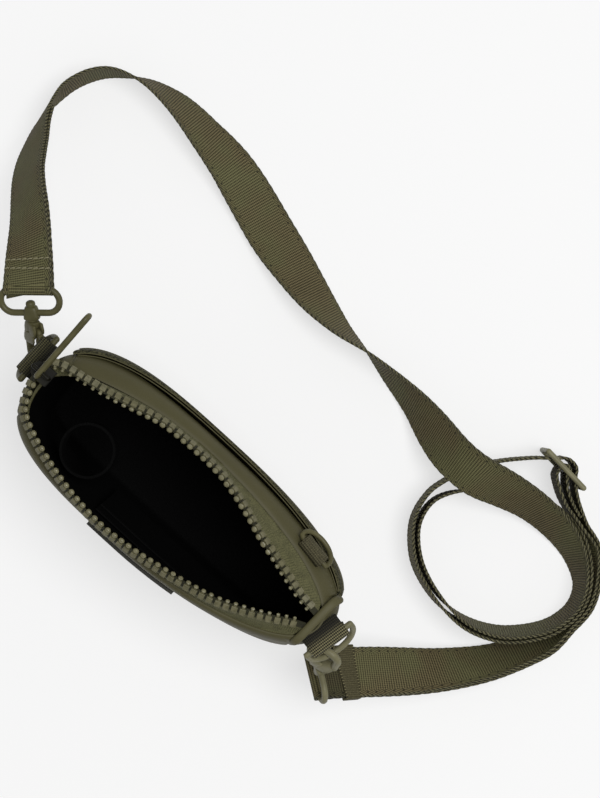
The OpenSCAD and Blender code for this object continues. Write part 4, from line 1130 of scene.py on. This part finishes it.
def stitch_rows():
    table = ribbon_table(run_rib)
    s = lengths(table)
    verts, faces = [], []
    for far in (9.5, 14.6):
        row = np.array([np.interp(far, s, table[:, k]) for k in range(9)])
        c, t = row[:3], unit(row[6:])
        w = square_to(t, row[3:6])
        n = np.cross(t, w)
        for k in np.arange(-3.5, 4, 1):
            a = c + k * (3.0 * w - 0.7 * t) - (strap_t / 2 + 0.05) * n
            rings = tube(np.array([a + x * w - h * n for x, h in STITCH_BOW]), 0.32, 6)
            base = len(verts)
            verts.extend(rings.reshape(-1, 3))
            faces += [tuple(base + v for v in f) for f in grid_faces(len(STITCH_BOW), 6, closed_m=True)]
    ob = add_mesh("fold_stitches", verts, faces, THREAD, angle=60)
    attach(ob, "pouch")
    return ob


long_run = build_ribbon("strap_long", run_rib, ["strap_long_run", "strap_inner_turn"])
outer_coil = build_ribbon("strap_outer_coil", outer_rib, ["strap_outer_turn"], 1.0)
lower_run = build_ribbon("strap_lower", lower_rib, ["strap_lower_run"], 2.0, painted_shade=0.55)
return_run = build_ribbon("strap_return", return_rib, ["strap_return_run"], 0.5, painted_shade=0.55)
sewn_tail = build_ribbon("strap_sewn_tail", sewn_rib, ["strap_sewn_end"])[0]
doubled = build_ribbon("strap_doubled", doubled_rib, ["strap_doubled_end"], 1.5)[0]
fold = build_ribbon("strap_fold_cloth", fold_rib, ["strap_fold"], 0.8)[0]
stitches = stitch_rows()


def declare(ribbon):
    piece, path, length = ribbon
    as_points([tuple(q * MM) for q in path[::6]] + [tuple(path[-1] * MM)])


declare(long_run)
declare(outer_coil)
declare(lower_run)
declare(return_run)


# Keeper: a flat sleeve round both layers
def build_keeper():
    row = len(lower_rib) - 3
    c, w, t = lower_rib[row]
    half_l, hw, hn, r, skew = 5.6, strap_w / 2 + 0.25, (pitch + strap_t) / 2 + 0.15, 0.8, 2.6
    ends = []
    for e in (-1, 1):
        o = lower_rib[row + e]
        we = square_to(t, unit(mix(square_to(t, w), o[1], half_l / np.linalg.norm(o[0] - c))))
        ne = np.cross(t, we)
        ends.append((c + e * half_l * t + pitch / 2 * ne, we, ne))
    outline = []
    for x, y, a0 in ((hw, -hn, -90), (hw, hn, 0), (-hw, hn, 90), (-hw, -hn, 180)):
        outline += [(x, y, a) for a in np.linspace(a0, a0 + 90, 5)]
        flat = a0 in (0, 180)
        outline += [(mix(x, -x, k), y, a0 + 90) for k in (0.25, 0.5, 0.75)] if flat else []
    profile = [
        (0, 0.05, -6), (0, r - 0.15, -5.4), (0.03, r, -5), (0.5, r, 0), (0.97, r, 5), (1, r - 0.15, 5.4),
        (1, 0.05, 6)]
    rings, uvs = [], []
    for x, y, a in outline:
        ring, marks = [], []
        for share, grow, v in profile:
            o, we, ne = (mix(ends[0][k], ends[1][k], share) for k in range(3))
            lean = -skew * share * (0.5 + x / (2 * hw)) * t
            ring.append(o + lean + (x + grow * cos(a)) * we + (y + grow * sin(a)) * ne)
            marks.append((x + y + 0.02 * a, v))
        rings.append(ring)
        uvs.append(marks)
    ob = loft("keeper_sleeve", rings, KEEPER, closed=True, uvs=uvs, angle=50)
    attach(ob, "keeper")
    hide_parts("strap_keeper")


build_keeper()

# Floor and light
FLOOR_SEEN, FLOOR_GLOW = 0.975, 0.64
KEY_POWER, WORLD_POWER = 29.5, 0.32


def white_floor():
    """A white floor that the camera sees near its own white, with the object's shadow kept."""
    s = Shader("floor_white")
    s.set(Base_Color=srgb(247, 247, 247), Roughness=0.9)
    path = s.node("ShaderNodeLightPath").outputs
    seen = s.math("MAXIMUM", path["Is Camera Ray"], path["Is Glossy Ray"])
    seen = s.math("MAXIMUM", seen, path["Is Transmission Ray"])
    glow = s.node("ShaderNodeEmission", Strength=FLOOR_SEEN)
    both = s.node("ShaderNodeMixShader", i0=s.mul(seen, FLOOR_GLOW), i1=s.bsdf.outputs[0], i2=glow.outputs[0])
    s.put(s.tree.nodes["Material Output"].inputs["Surface"], both.outputs[0])
    return s.mat


bpy.ops.mesh.primitive_plane_add(size=8)
floor = bpy.context.object
floor.name = "floor"
floor.data.materials.append(white_floor())


def area_light(name, place, size, power, target=(0, 0.05, 0.03)):
    data = bpy.data.lights.new(name, "AREA")
    data.shape = "DISK"
    data.size = size
    data.energy = power
    ob = bpy.data.objects.new(name, data)
    ob.location = place
    ob.rotation_euler = (Vector(target) - Vector(place)).to_track_quat("-Z", "Y").to_euler()
    scene.collection.objects.link(ob)


area_light("key", (0.35, 0.42, 2.0), 1.1, KEY_POWER)
world = bpy.data.worlds.new("world")
world.use_nodes = True
world_light = world.node_tree.nodes["Background"].inputs
world_light["Color"].default_value = (1, 1, 1, 1)
world_light["Strength"].default_value = WORLD_POWER
scene.world = world
scene.view_settings.view_transform = "Standard"
